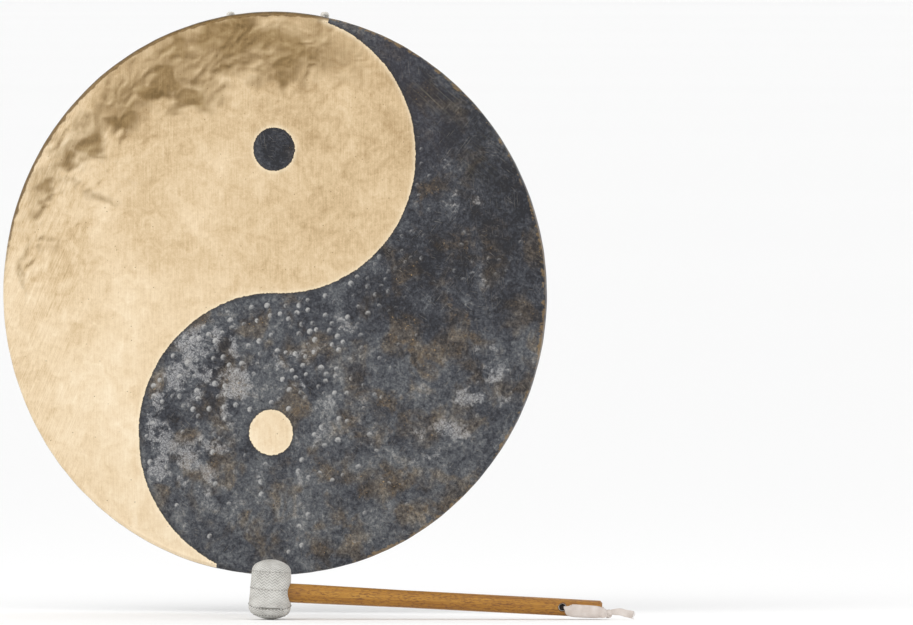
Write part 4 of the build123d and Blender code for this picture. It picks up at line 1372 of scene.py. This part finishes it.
def shift_hems(name, verts, new, hem):
    """Lets the hems meet inside one another, so that no gap shows between two panels."""
    a = np.arctan2(verts[hem, 1], verts[hem, 0])
    middle = hem[np.abs(verts[hem, 2] - seam_v(SEAM_MID, a, SHEET_R)) < 0.3]
    if name == "cover_cap_upper":
        new[hem, 2] -= 0.35
    elif name == "cover_sleeve_upper":
        new[middle, 2] -= 0.3
        new[hem[verts[hem, 2] > SEAM_UP[0] - 0.2], 2] += 0.35
    elif name == "cover_sleeve_lower":
        new[middle, 2] += 0.3
    else:
        new[hem, :2] *= 1 - 0.50 / 22


def keep_outside(verts, radius):
    verts[:, :2] *= np.maximum(1.0, radius / np.hypot(verts[:, 0], verts[:, 1]))[:, None]


def make_cover(name, verts, faces, moved):
    """One panel, puffed out and given its thickness."""
    sleeve = "sleeve" in name
    normals = vertex_normals(verts, faces)
    inside = [0, 0, verts[:, 2].mean() - (9 if "upper" in name else -9)]
    if (normals * (verts - inside)).sum() < 0:
        normals = -normals
        faces = [list(reversed(face)) for face in faces]
    along = (moved * normals).sum(1)
    sideways = moved - along[:, None] * normals
    limit = np.minimum(1.0, 0.8 / np.maximum(np.linalg.norm(sideways, axis=1), 1e-9))
    out = (0.30 if sleeve else 0.15) * np.tanh(along / 1.3)
    puckers = pull(verts, name)
    if sleeve:
        puckers += 0.35 * np.clip(1 - ((verts[:, 2] - 3.0) / 19.5) ** 2, 0, 1)
    new = verts + normals * np.clip(out + puckers, -0.75, 1.15)[:, None]
    new = new + sideways * limit[:, None] * 0.6
    if name == "cover_sleeve_lower":
        new[:, :2] *= (1 + 0.60 / 21.4 * ease(2, -13, verts[:, 2]))[:, None]
    border = border_of(faces)
    shift_hems(name, verts, new, np.array(sorted({i for edge in border for i in edge})))
    inner = new - normals * 0.75
    if sleeve:
        keep_outside(inner, 19.7)
        keep_outside(new, 20.3)
    n = len(new)
    both = np.vstack([new, inner])
    faces = [list(face) for face in faces] + [[i + n for i in reversed(face)] for face in faces]
    faces += [[b, a, a + n, b + n] for a, b in border]
    places = at(*both.T)
    places[:, 2] = np.maximum(places[:, 2], FLOOR_MM + 0.05)
    ob = new_mesh(name.replace("cover", "cloth"), places * MM, faces, "mallet")
    a, v = np.arctan2(both[:, 1], both[:, 0]), both[:, 2]
    put_attr(ob, "wu", a * SHEET_R)
    put_attr(ob, "wv", v if sleeve else v - np.sign(v) * np.hypot(both[:, 0], both[:, 1]))
    gap = np.minimum.reduce([np.abs(v - seam_v(seam, a, SHEET_R))
                             for seam in (SEAM_UP, SEAM_MID, SEAM_LOW)])
    put_attr(ob, "seam", np.exp(-((gap / 1.1) ** 2)))
    soften = ob.modifiers.new("soften", "SUBSURF")
    soften.levels = soften.render_levels = 1
    bpy.context.view_layer.objects.active = ob
    with bpy.context.temp_override(object=ob, active_object=ob):
        bpy.ops.object.modifier_apply(modifier=soften.name)
    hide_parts(name)
    return ob


panels = build_panels()
moved = still = {name: np.zeros_like(verts) for name, (verts, _) in panels.items()}
moved = puff(panels)
# guards against a simulation that has blown up or given no numbers
if not np.linalg.norm(np.concatenate(list(moved.values())), axis=1).max() <= 50:
    moved = still
covers = {name: make_cover(name, *panel, moved[name]) for name, panel in panels.items()}

# ------------------------------------------------------------------ running stitches
trees = {}
for name, ob in covers.items():
    bm = bmesh.new()
    bm.from_mesh(ob.data)
    trees[name] = BVHTree.FromBMesh(bm)
    bm.free()


def cast(name, start, direction):
    """Where a ray meets this panel: place in mm, normal, distance; or None."""
    place, normal, _, distance = trees[name].ray_cast(Vector(start * MM), direction)
    return None if place is None else (np.array(place) * 1000, np.array(normal), distance)


def on_cloth(a, v, names):
    """The outermost cloth point at this angle and height."""
    start = at(26.0 * math.cos(a), 26.0 * math.sin(a), v)
    direction = Vector(at(0, 0, v) - start).normalized()
    found = [hit for hit in (cast(name, start, direction) for name in names) if hit]
    return min(found, key=lambda hit: hit[2], default=None)


STITCH_T = np.linspace(-1, 1, 9)                 # stations along a stitch
STITCH_R = 20.8
THREAD_RADII = 0.36 * np.array([0.7, 0.95, 1, 1, 1, 1, 1, 0.95, 0.7])


def thread_row(name, v0, tilt_degrees, count, names, skip=0.0):
    """Short stitches round the head, none within skip degrees of the shaft."""
    parts = Parts()
    draw = np.random.default_rng(count * 7 + int(v0 * 10))
    for i in range(count):
        a0 = TAU * (i + 0.5) / count + draw.uniform(-0.008, 0.008)
        if min(math.degrees(a0), 360 - math.degrees(a0)) < skip:
            continue
        half = 1.7 / 2 / STITCH_R * draw.uniform(0.85, 1.1)
        lean = draw.uniform(-0.25, 0.25)
        hits = []
        for t in STITCH_T:
            a = a0 + t * half
            v = seam_v((v0, tilt_degrees), a, STITCH_R) + t * lean
            hits.append(on_cloth(a, v, names))
        if all(hits):
            path = [h[0] + h[1] * (0.26 - 0.70 * abs(t) ** 3) for h, t in zip(hits, STITCH_T)]
            parts.tube(path, THREAD_RADII, 7)
    ob = parts.make(name.replace("stitches", "thread"), "mallet", "thread")
    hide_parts(name)
    return ob


def base_threads(count=30, radius=17.0):
    """Stitches round the lower dome."""
    parts = Parts()
    for i in range(count):
        hits = []
        for t in STITCH_T:
            a = TAU * (i + 0.5) / count + t * 0.050
            start = at(radius * math.cos(a), radius * math.sin(a), -40.0)
            hits.append(cast("cover_cap_lower", start, Vector(UP)))
        if all(hits):
            path = np.array([h[0] + h[1] * (0.16 - 0.6 * abs(t) ** 3)
                             for h, t in zip(hits, STITCH_T)])
            path[:, 2] = np.maximum(path[:, 2], FLOOR_MM + 0.3)
            parts.tube(path, 0.34, 7)
    ob = parts.make("thread_base", "mallet", "thread")
    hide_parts("stitches_base")
    return ob


pale_threads = [
    thread_row("stitches_upper", SEAM_UP[0] - 0.2, 0.0, 36,
               ("cover_sleeve_upper", "cover_cap_upper")),
    thread_row("stitches_middle", *SEAM_MID, 36,
               ("cover_sleeve_upper", "cover_sleeve_lower"), skip=34.0),
]
dark_threads = [thread_row("stitches_lower", -13.5, 13.5, 38, ("cover_cap_lower",)),
                base_threads()]


# ------------------------------------------------------------------ strap
def ribbon(parts, stations, thick):
    """Flat tape through stations (point, width direction, width, bend radius across)."""
    rows = [[*point, *direction, width, 1.0 / bend] for point, direction, width, bend in stations]
    curve = catmull(rows)
    path = curve[:, :3]
    tangent = np.gradient(path, axis=0)
    tangent /= np.linalg.norm(tangent, axis=1)[:, None]
    wide = curve[:, 3:6]
    wide = wide - tangent * (wide * tangent).sum(1)[:, None]
    wide /= np.linalg.norm(wide, axis=1)[:, None]
    normal = np.cross(tangent, wide)
    along = path_lengths(path)
    rings = []
    across = np.linspace(-1, 1, 11)
    for k in range(len(path)):
        half, curved = curve[k, 6] / 2, curve[k, 7]
        ripple = 0.04 * math.sin(along[k] * 0.5)
        upper, lower = [], []
        for x in across:
            s = x * half
            sag = -0.5 * curved * s * s
            # thinner towards the edges, with a thicker selvedge
            high = thick / 2 * (1 - 0.25 * abs(x) ** 6) + 0.10 * (abs(x) > 0.82)
            lift = ripple * x * 0.6
            upper.append(path[k] + wide[k] * s + normal[k] * (sag + high + lift))
            lower.append(path[k] + wide[k] * s + normal[k] * (sag - high + lift))
        rings.append(np.array(upper + lower[::-1]))
    around = [x * 0.5 + 0.5 for x in across]
    parts.rings(rings, along, around=around + around[::-1])
    return path[-1], tangent[-1], wide[-1], normal[-1]


STRAP_HOLE_U = 313.3
KNOT = (363.0, 0.0, -4.2)                        # u, y, v
# Each leg of the strap. Out of the hole, and in to the knot: u, distance to the side, v,
# width, bend radius across
LEG_OUT = ((314.6, 1.5, 0.4, 2.8, inf), (314.8, 6.0, 0.3, 2.6, inf), (315.4, 8.6, 0.0, 2.9, inf))
LEG_IN = ((358.2, 8.4, -4.0, 10.2, 14.0), (360.2, 5.6, -4.2, 8.0, inf),
          (362.6, 2.0, -4.2, 6.0, inf))
# and round the shaft between them: u, degrees above level, width, radius, bend radius across
LEG_ROUND = (
    (317.2, -4, 5.2, 9.9, 14.0), (319.4, -11, 10.6, 10.1, 18.0), (323.0, -17.5, 13.8, 10.2, 22.0),
    (332.0, -19.0, 14.3, 10.2, 24.0), (341.0, -19.0, 14.2, 10.2, 24.0),
    (350.0, -19.5, 13.6, 10.2, 22.0), (355.4, -20.5, 11.8, 10.2, 18.0))


def strap_leg(parts, side):
    def straight(rows):
        return [(at(u, side * y, v), -side * UP, width, bend) for u, y, v, width, bend in rows]

    curved = []
    for u, degrees, width, r, bend in LEG_ROUND:
        t = math.radians(degrees)
        tangent = -side * math.sin(t) * ACROSS + math.cos(t) * UP
        point = at(u, side * r * math.cos(t), r * math.sin(t))
        curved.append((point, -side * tangent, width, bend))
    ribbon(parts, straight(LEG_OUT) + curved + straight(LEG_IN), 0.95)


def strap_knot(parts):
    """The tape's ends tied over each other, bunched into a thick round."""
    kx, ky, kz = trefoil(np.linspace(0, TAU, 73)[:-1])
    loop = at(KNOT[0] + 1.43 * kz, KNOT[1] + 1.18 * kx, KNOT[2] + 1.18 * ky)
    path, tangent, _, _ = frames(np.vstack([loop, loop[:1]]))
    centre = at(*KNOT)
    f = np.arange(14) / 14 * TAU
    rings = []
    for k in range(len(loop)):
        outward = path[k] - centre
        outward -= tangent[k] * np.dot(outward, tangent[k])
        outward /= max(np.linalg.norm(outward), 1e-6)
        wide = np.cross(tangent[k], outward)
        fold = 1 + 0.10 * np.sin(4 * f + k * 0.25)
        rings.append(path[k] + np.outer(2.7 * fold * np.cos(f), wide)
                     + np.outer(1.45 * fold * np.sin(f), outward))
    parts.rings(rings, np.arange(len(loop)) * 1.2, closed=True)


strap = Parts()
for side in (-1, 1):
    strap_leg(strap, side)
strap.tube(at(STRAP_HOLE_U, (-4.6, -3.0, 0.0, 3.0, 4.6), 0.0), (3.0, 3.6, 3.7, 3.6, 3.0), 20)
strap_knot(strap)
strap_ob = strap.make("strap_tape", "mallet", "tape")
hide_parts("wrist_strap")

# the tail hangs from its pivot towards the floor
pivot = np.array(tail_pivot) * 1000
drop = math.asin((pivot[2] - FLOOR_MM - 4.7) / 17.0)
tail_dir = LEVEL * math.cos(drop) + np.array([0, 0, -math.sin(drop)])
tail_up = LEVEL * math.sin(drop) + np.array([0, 0, math.cos(drop)])
TAIL_START = 11.5                                # knot to pivot
# distance past the pivot, width, twist, shift across, shift up
TAIL = (
    (-TAIL_START, 5.2, 0.5, 0.6, 1.2), (-7.0, 6.0, 0.38, 0.5, 0.2), (-3.0, 7.0, 0.22, 0.2, -0.9),
    (2.0, 7.6, 0.08, -0.1, -1.1), (7.0, 7.8, -0.04, -0.2, -0.9), (11.5, 8.0, -0.10, 0.1, -0.5),
    (15.6, 8.2, 0.0, 0.2, -0.2))


def tail_station(d, width, twist, dy, dz):
    if d < 0:
        knot = at(*KNOT)
        base = knot + (pivot - knot) * ((d + TAIL_START) / TAIL_START)
    else:
        base = pivot + tail_dir * d
    direction = tail_up * math.cos(twist) + ACROSS * math.sin(twist)
    return base + ACROSS * dy + tail_up * dz, direction, width, inf


def fray(parts, end, tangent, wide, normal, count=17):
    """Loose threads at the cut end."""
    draw = np.random.default_rng(31)
    q = np.linspace(0, 1, 6)[:, None]
    for k in range(count):
        x = -3.8 + 7.6 * k / (count - 1)
        length = draw.uniform(1.2, 3.3) * (1 - 0.25 * abs(x) / 4)
        start = end + wide * x - tangent * 1.2
        bend_out, bend_wide = draw.uniform(-0.5, 0.5), draw.uniform(-0.6, 0.6)
        line = (start + tangent * (1.2 + length) * q + normal * bend_out * q * q
                + wide * bend_wide * q * q)
        line[:, 2] = np.maximum(line[:, 2], FLOOR_MM + 0.35)
        parts.tube(line, np.linspace(0.30, 0.16, 6), 6)


tail = Parts()
fray(tail, *ribbon(tail, [tail_station(*row) for row in TAIL], 1.0))
tail_ob = tail.make("strap_tail_tape", None, "tape")
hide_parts("strap_tail")
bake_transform(tail_ob)

# ------------------------------------------------------------------ cord
STUB_Y = 13.4                                    # each cord leaves the gong here
PIVOT_Y, PIVOT_Z = cord_pivot.y * 1000, cord_pivot.z * 1000
LOOP_X = 52.971                                  # half the loop's width at the pivot
LOOP_HALF, LEG = 38.0, 163.7                     # its half width at the far end, and its height
loop_low, loop_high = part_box("hanging_cord")
CORD_R = (loop_high.y - loop_low.y) * 500


def loop_line():
    """From the left pivot down to the lower end, round, and up to the right pivot."""
    narrowing = LOOP_X - LOOP_HALF
    slant = math.hypot(narrowing, LEG)
    bend_r = LOOP_HALF / (LEG / slant)           # touches both legs
    end_z = PIVOT_Z - LEG
    bend_z = end_z + bend_r * narrowing / slant
    start = math.atan2(end_z - bend_z, -LOOP_HALF) + TAU
    end = math.atan2(end_z - bend_z, LOOP_HALF) + TAU
    left = [(-LOOP_X + narrowing * q, PIVOT_Y, PIVOT_Z - LEG * q)
            for q in np.linspace(0, 1, 30)[1:]]
    bend = []
    for q in np.linspace(0, 1, 40)[1:-1]:
        a = start + (end - start) * q
        bend.append((bend_r * math.cos(a), PIVOT_Y, bend_z + bend_r * math.sin(a)))
    right = [(-x, y, z) for x, y, z in left[::-1]]
    tip_z = PIVOT_Z - 1.5
    return ([(-LOOP_X, PIVOT_Y, tip_z)] + left + bend + right + [(LOOP_X, PIVOT_Y, tip_z)])


loop = Parts()
rope(loop, loop_line(), CORD_R)
loop_ob = loop.make("cord_loop_rope", "cord_loop", "cord")
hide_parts("hanging_cord")

KNOT_R, STUB_R = 295.8, 306.5                    # from the gong's centre
STUB_BEND = 4.0


def cord_end(knots, bends, side):
    """A knot inside the rim, the cord out through the hole, and its bend up to the loop."""
    a = math.pi / 2 - side * HOLE_ANGLE
    outward = np.array([math.cos(a), 0, math.sin(a)])
    sideways = np.array([outward[2], 0, -outward[0]])

    def on(r, y):
        q = np.array(CENTRE) * 1000 + outward * r
        return np.array([q[0], y, q[2]])

    stub = [on(299.0, 0), on(STUB_R - STUB_BEND, 0)]
    for t in np.linspace(0, 1, 7)[1:] * math.pi / 2:
        stub.append(on(STUB_R - STUB_BEND + STUB_BEND * math.sin(t),
                       STUB_BEND - STUB_BEND * math.cos(t)))
    stub.append(on(STUB_R, STUB_Y + 0.6))
    rope(knots, stub, CORD_R, step=0.9)
    knot = [on(KNOT_R, 0) + sideways * (1.12 * p) + ACROSS * (1.12 * q) + outward * (1.9 * r)
            for p, q, r in zip(*trefoil(np.linspace(0, TAU, 61)))]
    rope(knots, knot, 2.15, step=0.9, turn=0.4)
    short_tail = [on(294.0, 0), on(288.0, 0.3), on(283.4, 0.0)]
    rope(knots, short_tail, CORD_R * 0.96, step=0.9, turn=0.9)

    start = on(STUB_R, STUB_Y - 0.8)
    bend_y = STUB_Y + 1.6
    bend = [start, on(STUB_R, bend_y)]
    for t in np.linspace(0, 1, 8)[1:] * math.pi / 2:
        bend.append(np.array([start[0], bend_y + (PIVOT_Y - bend_y) * math.sin(t),
                              PIVOT_Z - 4.2 * (1 - math.cos(t))]))
    bend.append(np.array([start[0] - side * 0.3, PIVOT_Y, PIVOT_Z - 6.5]))
    rope(bends, bend, CORD_R, step=0.8, turn=1.3)


knots, bends = Parts(), Parts()
for side in (-1, 1):
    cord_end(knots, bends, side)
knots_ob = knots.make("cord_end_knots", "gong", "cord")
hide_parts("cord_knots")
bends_ob = bends.make("cord_bends", None, "cord")
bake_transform(bends_ob)

# ------------------------------------------------------------------ beater and cord materials
# turns object coordinates into the beater's directions, and the head's place in them
BEATER_TURN = dict(heading=-TURN, turn=(0, math.asin(SHAFT[2]), 0))
HEAD_U, HEAD_Y, HEAD_V = (float(np.dot(HEAD, axis)) for axis in (SHAFT, ACROSS, UP))


def cotton():
    m = Mat("unbleached_cotton")
    wu, wv = m.attr("wu"), m.attr("wv")
    zigzag = m.math("SINE", (wv + m.math("PINGPONG", wu, 2.9) * 0.95) * (TAU / 3.1))
    per_yarn = math.pi / 0.62
    warp, weft = m.math("SINE", wu * per_yarn), m.math("SINE", wv * per_yarn)
    cross = m.step(warp * weft, -0.25, 0.25)
    weave = m.math("ABSOLUTE", warp) * cross + m.math("ABSOLUTE", weft) * (1.0 - cross)
    p = m.place()
    slub = m.noise(m.place(size=(7.0, 7.0, 0.9)), detail=2, rough=0.6)
    fuzz = m.noise(p, size=0.8, detail=3, rough=0.7)
    soil = m.noise(p, size=13, detail=3, rough=0.6)
    tone = (0.5 + (soil - 0.5) * 0.9 + (slub - 0.5) * 0.35 + (weave - 0.6) * 0.18
            + (fuzz - 0.5) * 0.60 + zigzag * m.step(wv, -12.0, -2.0, 0.10, 0.24))
    color = m.ramp(tone, (0.16, 160, 158, 153), (0.45, 196, 194, 189), (0.78, 221, 220, 215))
    color = m.mix(m.attr("seam") * 0.03, color, rgb(160, 157, 152))
    height = weave * 0.6 + zigzag * 0.7 + fuzz * 0.6 + slub * 0.3
    m.set(color=color, rough=0.93, spec=0.15,
          normal=m.bump(height, strength=0.6, distance=0.0004))
    return m.material


def tape_weave():
    m = Mat("cotton_tape")
    along, around = m.attr("along"), m.attr("around")
    zigzag = m.math("PINGPONG", around * 13.0, 3.0)
    rib = m.math("SINE", (along + zigzag * 0.9) * (math.pi / 0.8 * 1.4))
    cords = m.math("SINE", around * (TAU * 13))
    p = m.place()
    fuzz = m.noise(p, size=0.7, detail=3, rough=0.7)
    soil = m.noise(p, size=9, detail=2)
    tone = 0.55 + rib * 0.10 + cords * 0.05 + (fuzz - 0.5) * 0.3 + (soil - 0.5) * 0.7
    color = m.ramp(tone, (0.2, 182, 170, 162), (0.5, 211, 200, 192), (0.8, 230, 222, 216))
    # painted shade where it runs inside the hole
    u, y, _ = m.split(m.place(**BEATER_TURN))
    deep = m.step(m.math("ABSOLUTE", y - HEAD_Y), 7.0, 8.6, 1.0, 0.0)
    inside = deep * m.step(u, HEAD_U + 317.0, HEAD_U + 319.0, 1.0, 0.0)
    color = m.mix(inside * 0.93, color, rgb(40, 33, 29))
    m.set(color=color, rough=0.88, spec=0.2,
          normal=m.bump(rib * 0.3 + cords * 0.2 + fuzz * 0.3, strength=0.5, distance=0.0003))
    return m.material


def thread_material(name, paler=0):
    """Twisted thread; paler is added to each colour, 0-255."""
    m = Mat(name)
    twist = m.math("SINE", m.attr("along") * 9.0 + m.attr("around") * TAU)
    tone = twist * 0.18 + m.noise(m.place(), size=3, detail=2)
    stops = ((0.2, 58, 55, 52), (0.55, 84, 80, 75), (0.9, 118, 114, 107))
    color = m.ramp(tone, *((stop[0], *(c + paler for c in stop[1:])) for stop in stops))
    m.set(color=color, rough=0.6, normal=m.bump(twist, strength=0.5, distance=0.0001))
    return m.material


def rope_material():
    m = Mat("twisted_cord")
    yarn = m.math("SINE", m.attr("along") * 2.6 + m.attr("around") * (TAU * 3))
    fuzz = m.noise(m.place(), size=0.7, detail=3, rough=0.7)
    soil = m.noise(m.place(), size=17, detail=2)
    tone = 0.5 + yarn * 0.14 + (fuzz - 0.5) * 0.35 + (soil - 0.5) * 0.4
    color = m.ramp(tone, (0.2, 188, 182, 170), (0.5, 222, 218, 208), (0.8, 240, 237, 230))
    m.set(color=color, rough=0.7,
          normal=m.bump(yarn * 0.6 + fuzz * 0.3, strength=0.6, distance=0.0003))
    return m.material


def oiled_wood(name, *stops):
    """Wood with its grain along the shaft, its tones given by the ramp's stops."""
    m = Mat(name)

    def along_grain(length, width, detail, rough=0.5, distort=0.0, move=(0, 0, 0)):
        coords = m.place(size=(length, width, width), move=move, **BEATER_TURN)
        return m.noise(coords, detail=detail, rough=rough, distort=distort)

    wide = along_grain(150, 9, detail=3, rough=0.55, distort=0.3)
    grain = along_grain(45, 1.1, detail=3, rough=0.6)
    fleck = along_grain(4.6, 0.75, detail=2, rough=0.6)
    region = along_grain(26, 8, detail=2, move=(9, 4, 2))
    color = m.ramp(0.5 + (wide - 0.5) * 0.60 + (grain - 0.5) * 0.60, *stops)
    flecks = m.step(fleck, 0.51, 0.60) * m.step(region, 0.22, 0.50)
    color = m.mix(flecks * 0.78, color, rgb(104, 60, 20))
    # painted shade round the strap's hole, and a little dirt by the head
    u, _, v = m.split(m.place(**BEATER_TURN))
    du, dv = u - (HEAD_U + STRAP_HOLE_U), v - HEAD_V
    hole_gap = m.math("SQRT", du * du + dv * dv)
    color = m.mix(m.step(hole_gap, 3.9, 5.6, 0.85, 0.0), color, rgb(52, 34, 20))
    near_head = m.step(u, HEAD_U + 18.0, HEAD_U + 62.0, 1.0, 0.0)
    color = m.mix(near_head * m.step(region, 0.42, 0.6) * 0.34, color, rgb(116, 72, 32))
    m.set(color=color, rough=0.40 + (grain - 0.5) * 0.25, spec=0.42, coat=0.12, coat_rough=0.35,
          normal=m.bump(grain * 0.6 + flecks * -0.7, strength=0.35, distance=0.0003))
    return m.material


def felt_material():
    m = Mat("wool_felt")
    fibres = m.noise(m.place(), size=0.9, detail=4, rough=0.75, distort=0.8)
    tone = fibres * 0.6 + m.noise(m.place(), size=8, detail=2) * 0.4
    m.set(color=m.ramp(tone, (0.3, 186, 180, 168), (0.7, 222, 217, 206)), rough=0.96, spec=0.1,
          normal=m.bump(fibres, strength=0.8, distance=0.0004))
    return m.material


def assign(objects, material):
    for ob in objects:
        ob.data.materials.clear()
        ob.data.materials.append(material)


assign(covers.values(), cotton())
assign([strap_ob, tail_ob], tape_weave())
cord_material = rope_material()
assign(dark_threads, thread_material("sewing_thread"))
assign(pale_threads, thread_material("pale_thread", paler=62))
assign([loop_ob, knots_ob, bends_ob], cord_material)
hardwood = oiled_wood("oiled_hardwood", (0.16, 110, 66, 14), (0.38, 146, 95, 22),
                      (0.56, 173, 121, 38), (0.82, 198, 150, 64))
core_wood = oiled_wood("plain_core_wood", (0.2, 170, 132, 86), (0.5, 203, 168, 118),
                       (0.8, 224, 194, 146))
felt = felt_material()
for name, material in (("mallet_shaft", hardwood), ("mallet_core", core_wood),
                       ("core_dowel", core_wood), ("felt_wrap", felt),
                       ("felt_pad_upper", felt), ("felt_pad_lower", felt)):
    ob = bpy.data.objects[name]
    if ob.material_slots:
        for slot in ob.material_slots:
            slot.material = material
    else:
        ob.data.materials.append(material)


# ------------------------------------------------------------------ floor, light and camera
def make_floor(half=400.0):
    m = Mat("pale_floor")
    tone = m.noise(m.place(), size=9000, detail=1)
    color = m.ramp(tone, (0.3, 0.955, 0.955, 0.955), (0.7, 0.965, 0.965, 0.965), linear=True)
    m.set(color=color, rough=0.95, spec=0.1)
    corners = ((-half, -half), (half, -half), (half, half), (-half, half))
    ob = new_mesh("floor", [(x, y, FLOOR - 0.0002) for x, y in corners], [(0, 1, 2, 3)], None)
    ob.data.materials.append(m.material)


def soft_light(name, place, size, power, color=(1, 1, 1)):
    """A rectangular light aimed at the gong's centre."""
    light = bpy.data.lights.new(name, "AREA")
    light.shape, light.size, light.size_y = "RECTANGLE", size[0], size[1]
    light.energy, light.color = power, color
    ob = bpy.data.objects.new(name, light)
    bpy.context.scene.collection.objects.link(ob)
    ob.location = place
    ob.rotation_euler = (CENTRE - Vector(place)).to_track_quat("-Z", "Y").to_euler()


def white_world():
    world = bpy.data.worlds.new("studio")
    bpy.context.scene.world = world
    world.use_nodes = True
    tree = world.node_tree
    tree.nodes.clear()
    background = tree.nodes.new("ShaderNodeBackground")
    output = tree.nodes.new("ShaderNodeOutputWorld")
    tree.links.new(background.outputs[0], output.inputs[0])
    background.inputs["Color"].default_value = (1.0, 1.0, 1.0, 1.0)
    background.inputs["Strength"].default_value = 1.0


def add_camera(azimuth, elevation, distance, view_width, shift_right, shift_down):
    """A long-lens camera in front of the gong, turned towards its right by the azimuth."""
    azimuth, elevation = math.radians(azimuth), math.radians(elevation)
    back = Vector((math.sin(azimuth) * math.cos(elevation),
                   -math.cos(azimuth) * math.cos(elevation), math.sin(elevation)))
    right = Vector((math.cos(azimuth), math.sin(azimuth), 0))
    up = back.cross(right)
    aim = Vector((0, FACE_Y * MM, CENTRE.z)) + right * shift_right - up * shift_down
    camera = bpy.data.cameras.new("camera")
    camera.sensor_fit, camera.sensor_width = "HORIZONTAL", 36.0
    camera.lens = 36.0 * distance / view_width
    camera.clip_start, camera.clip_end = 1.0, 900.0
    ob = bpy.data.objects.new("camera", camera)
    bpy.context.scene.collection.objects.link(ob)
    ob.matrix_world = Matrix([(right[k], up[k], back[k], aim[k] + back[k] * distance)
                              for k in range(3)] + [(0, 0, 0, 1)])
    bpy.context.scene.camera = ob


make_floor()
white_world()
soft_light("key", (-1.6, -2.6, 1.9), size=(2.2, 2.2), power=26, color=(1.0, 0.985, 0.96))
soft_light("fill", (2.6, -2.2, 0.4), size=(1.8, 2.2), power=7)
add_camera(azimuth=15.4, elevation=1.0, distance=24.0, view_width=0.987,
           shift_right=0.1994, shift_down=0.0206)
bpy.context.scene.view_settings.view_transform = "Standard"
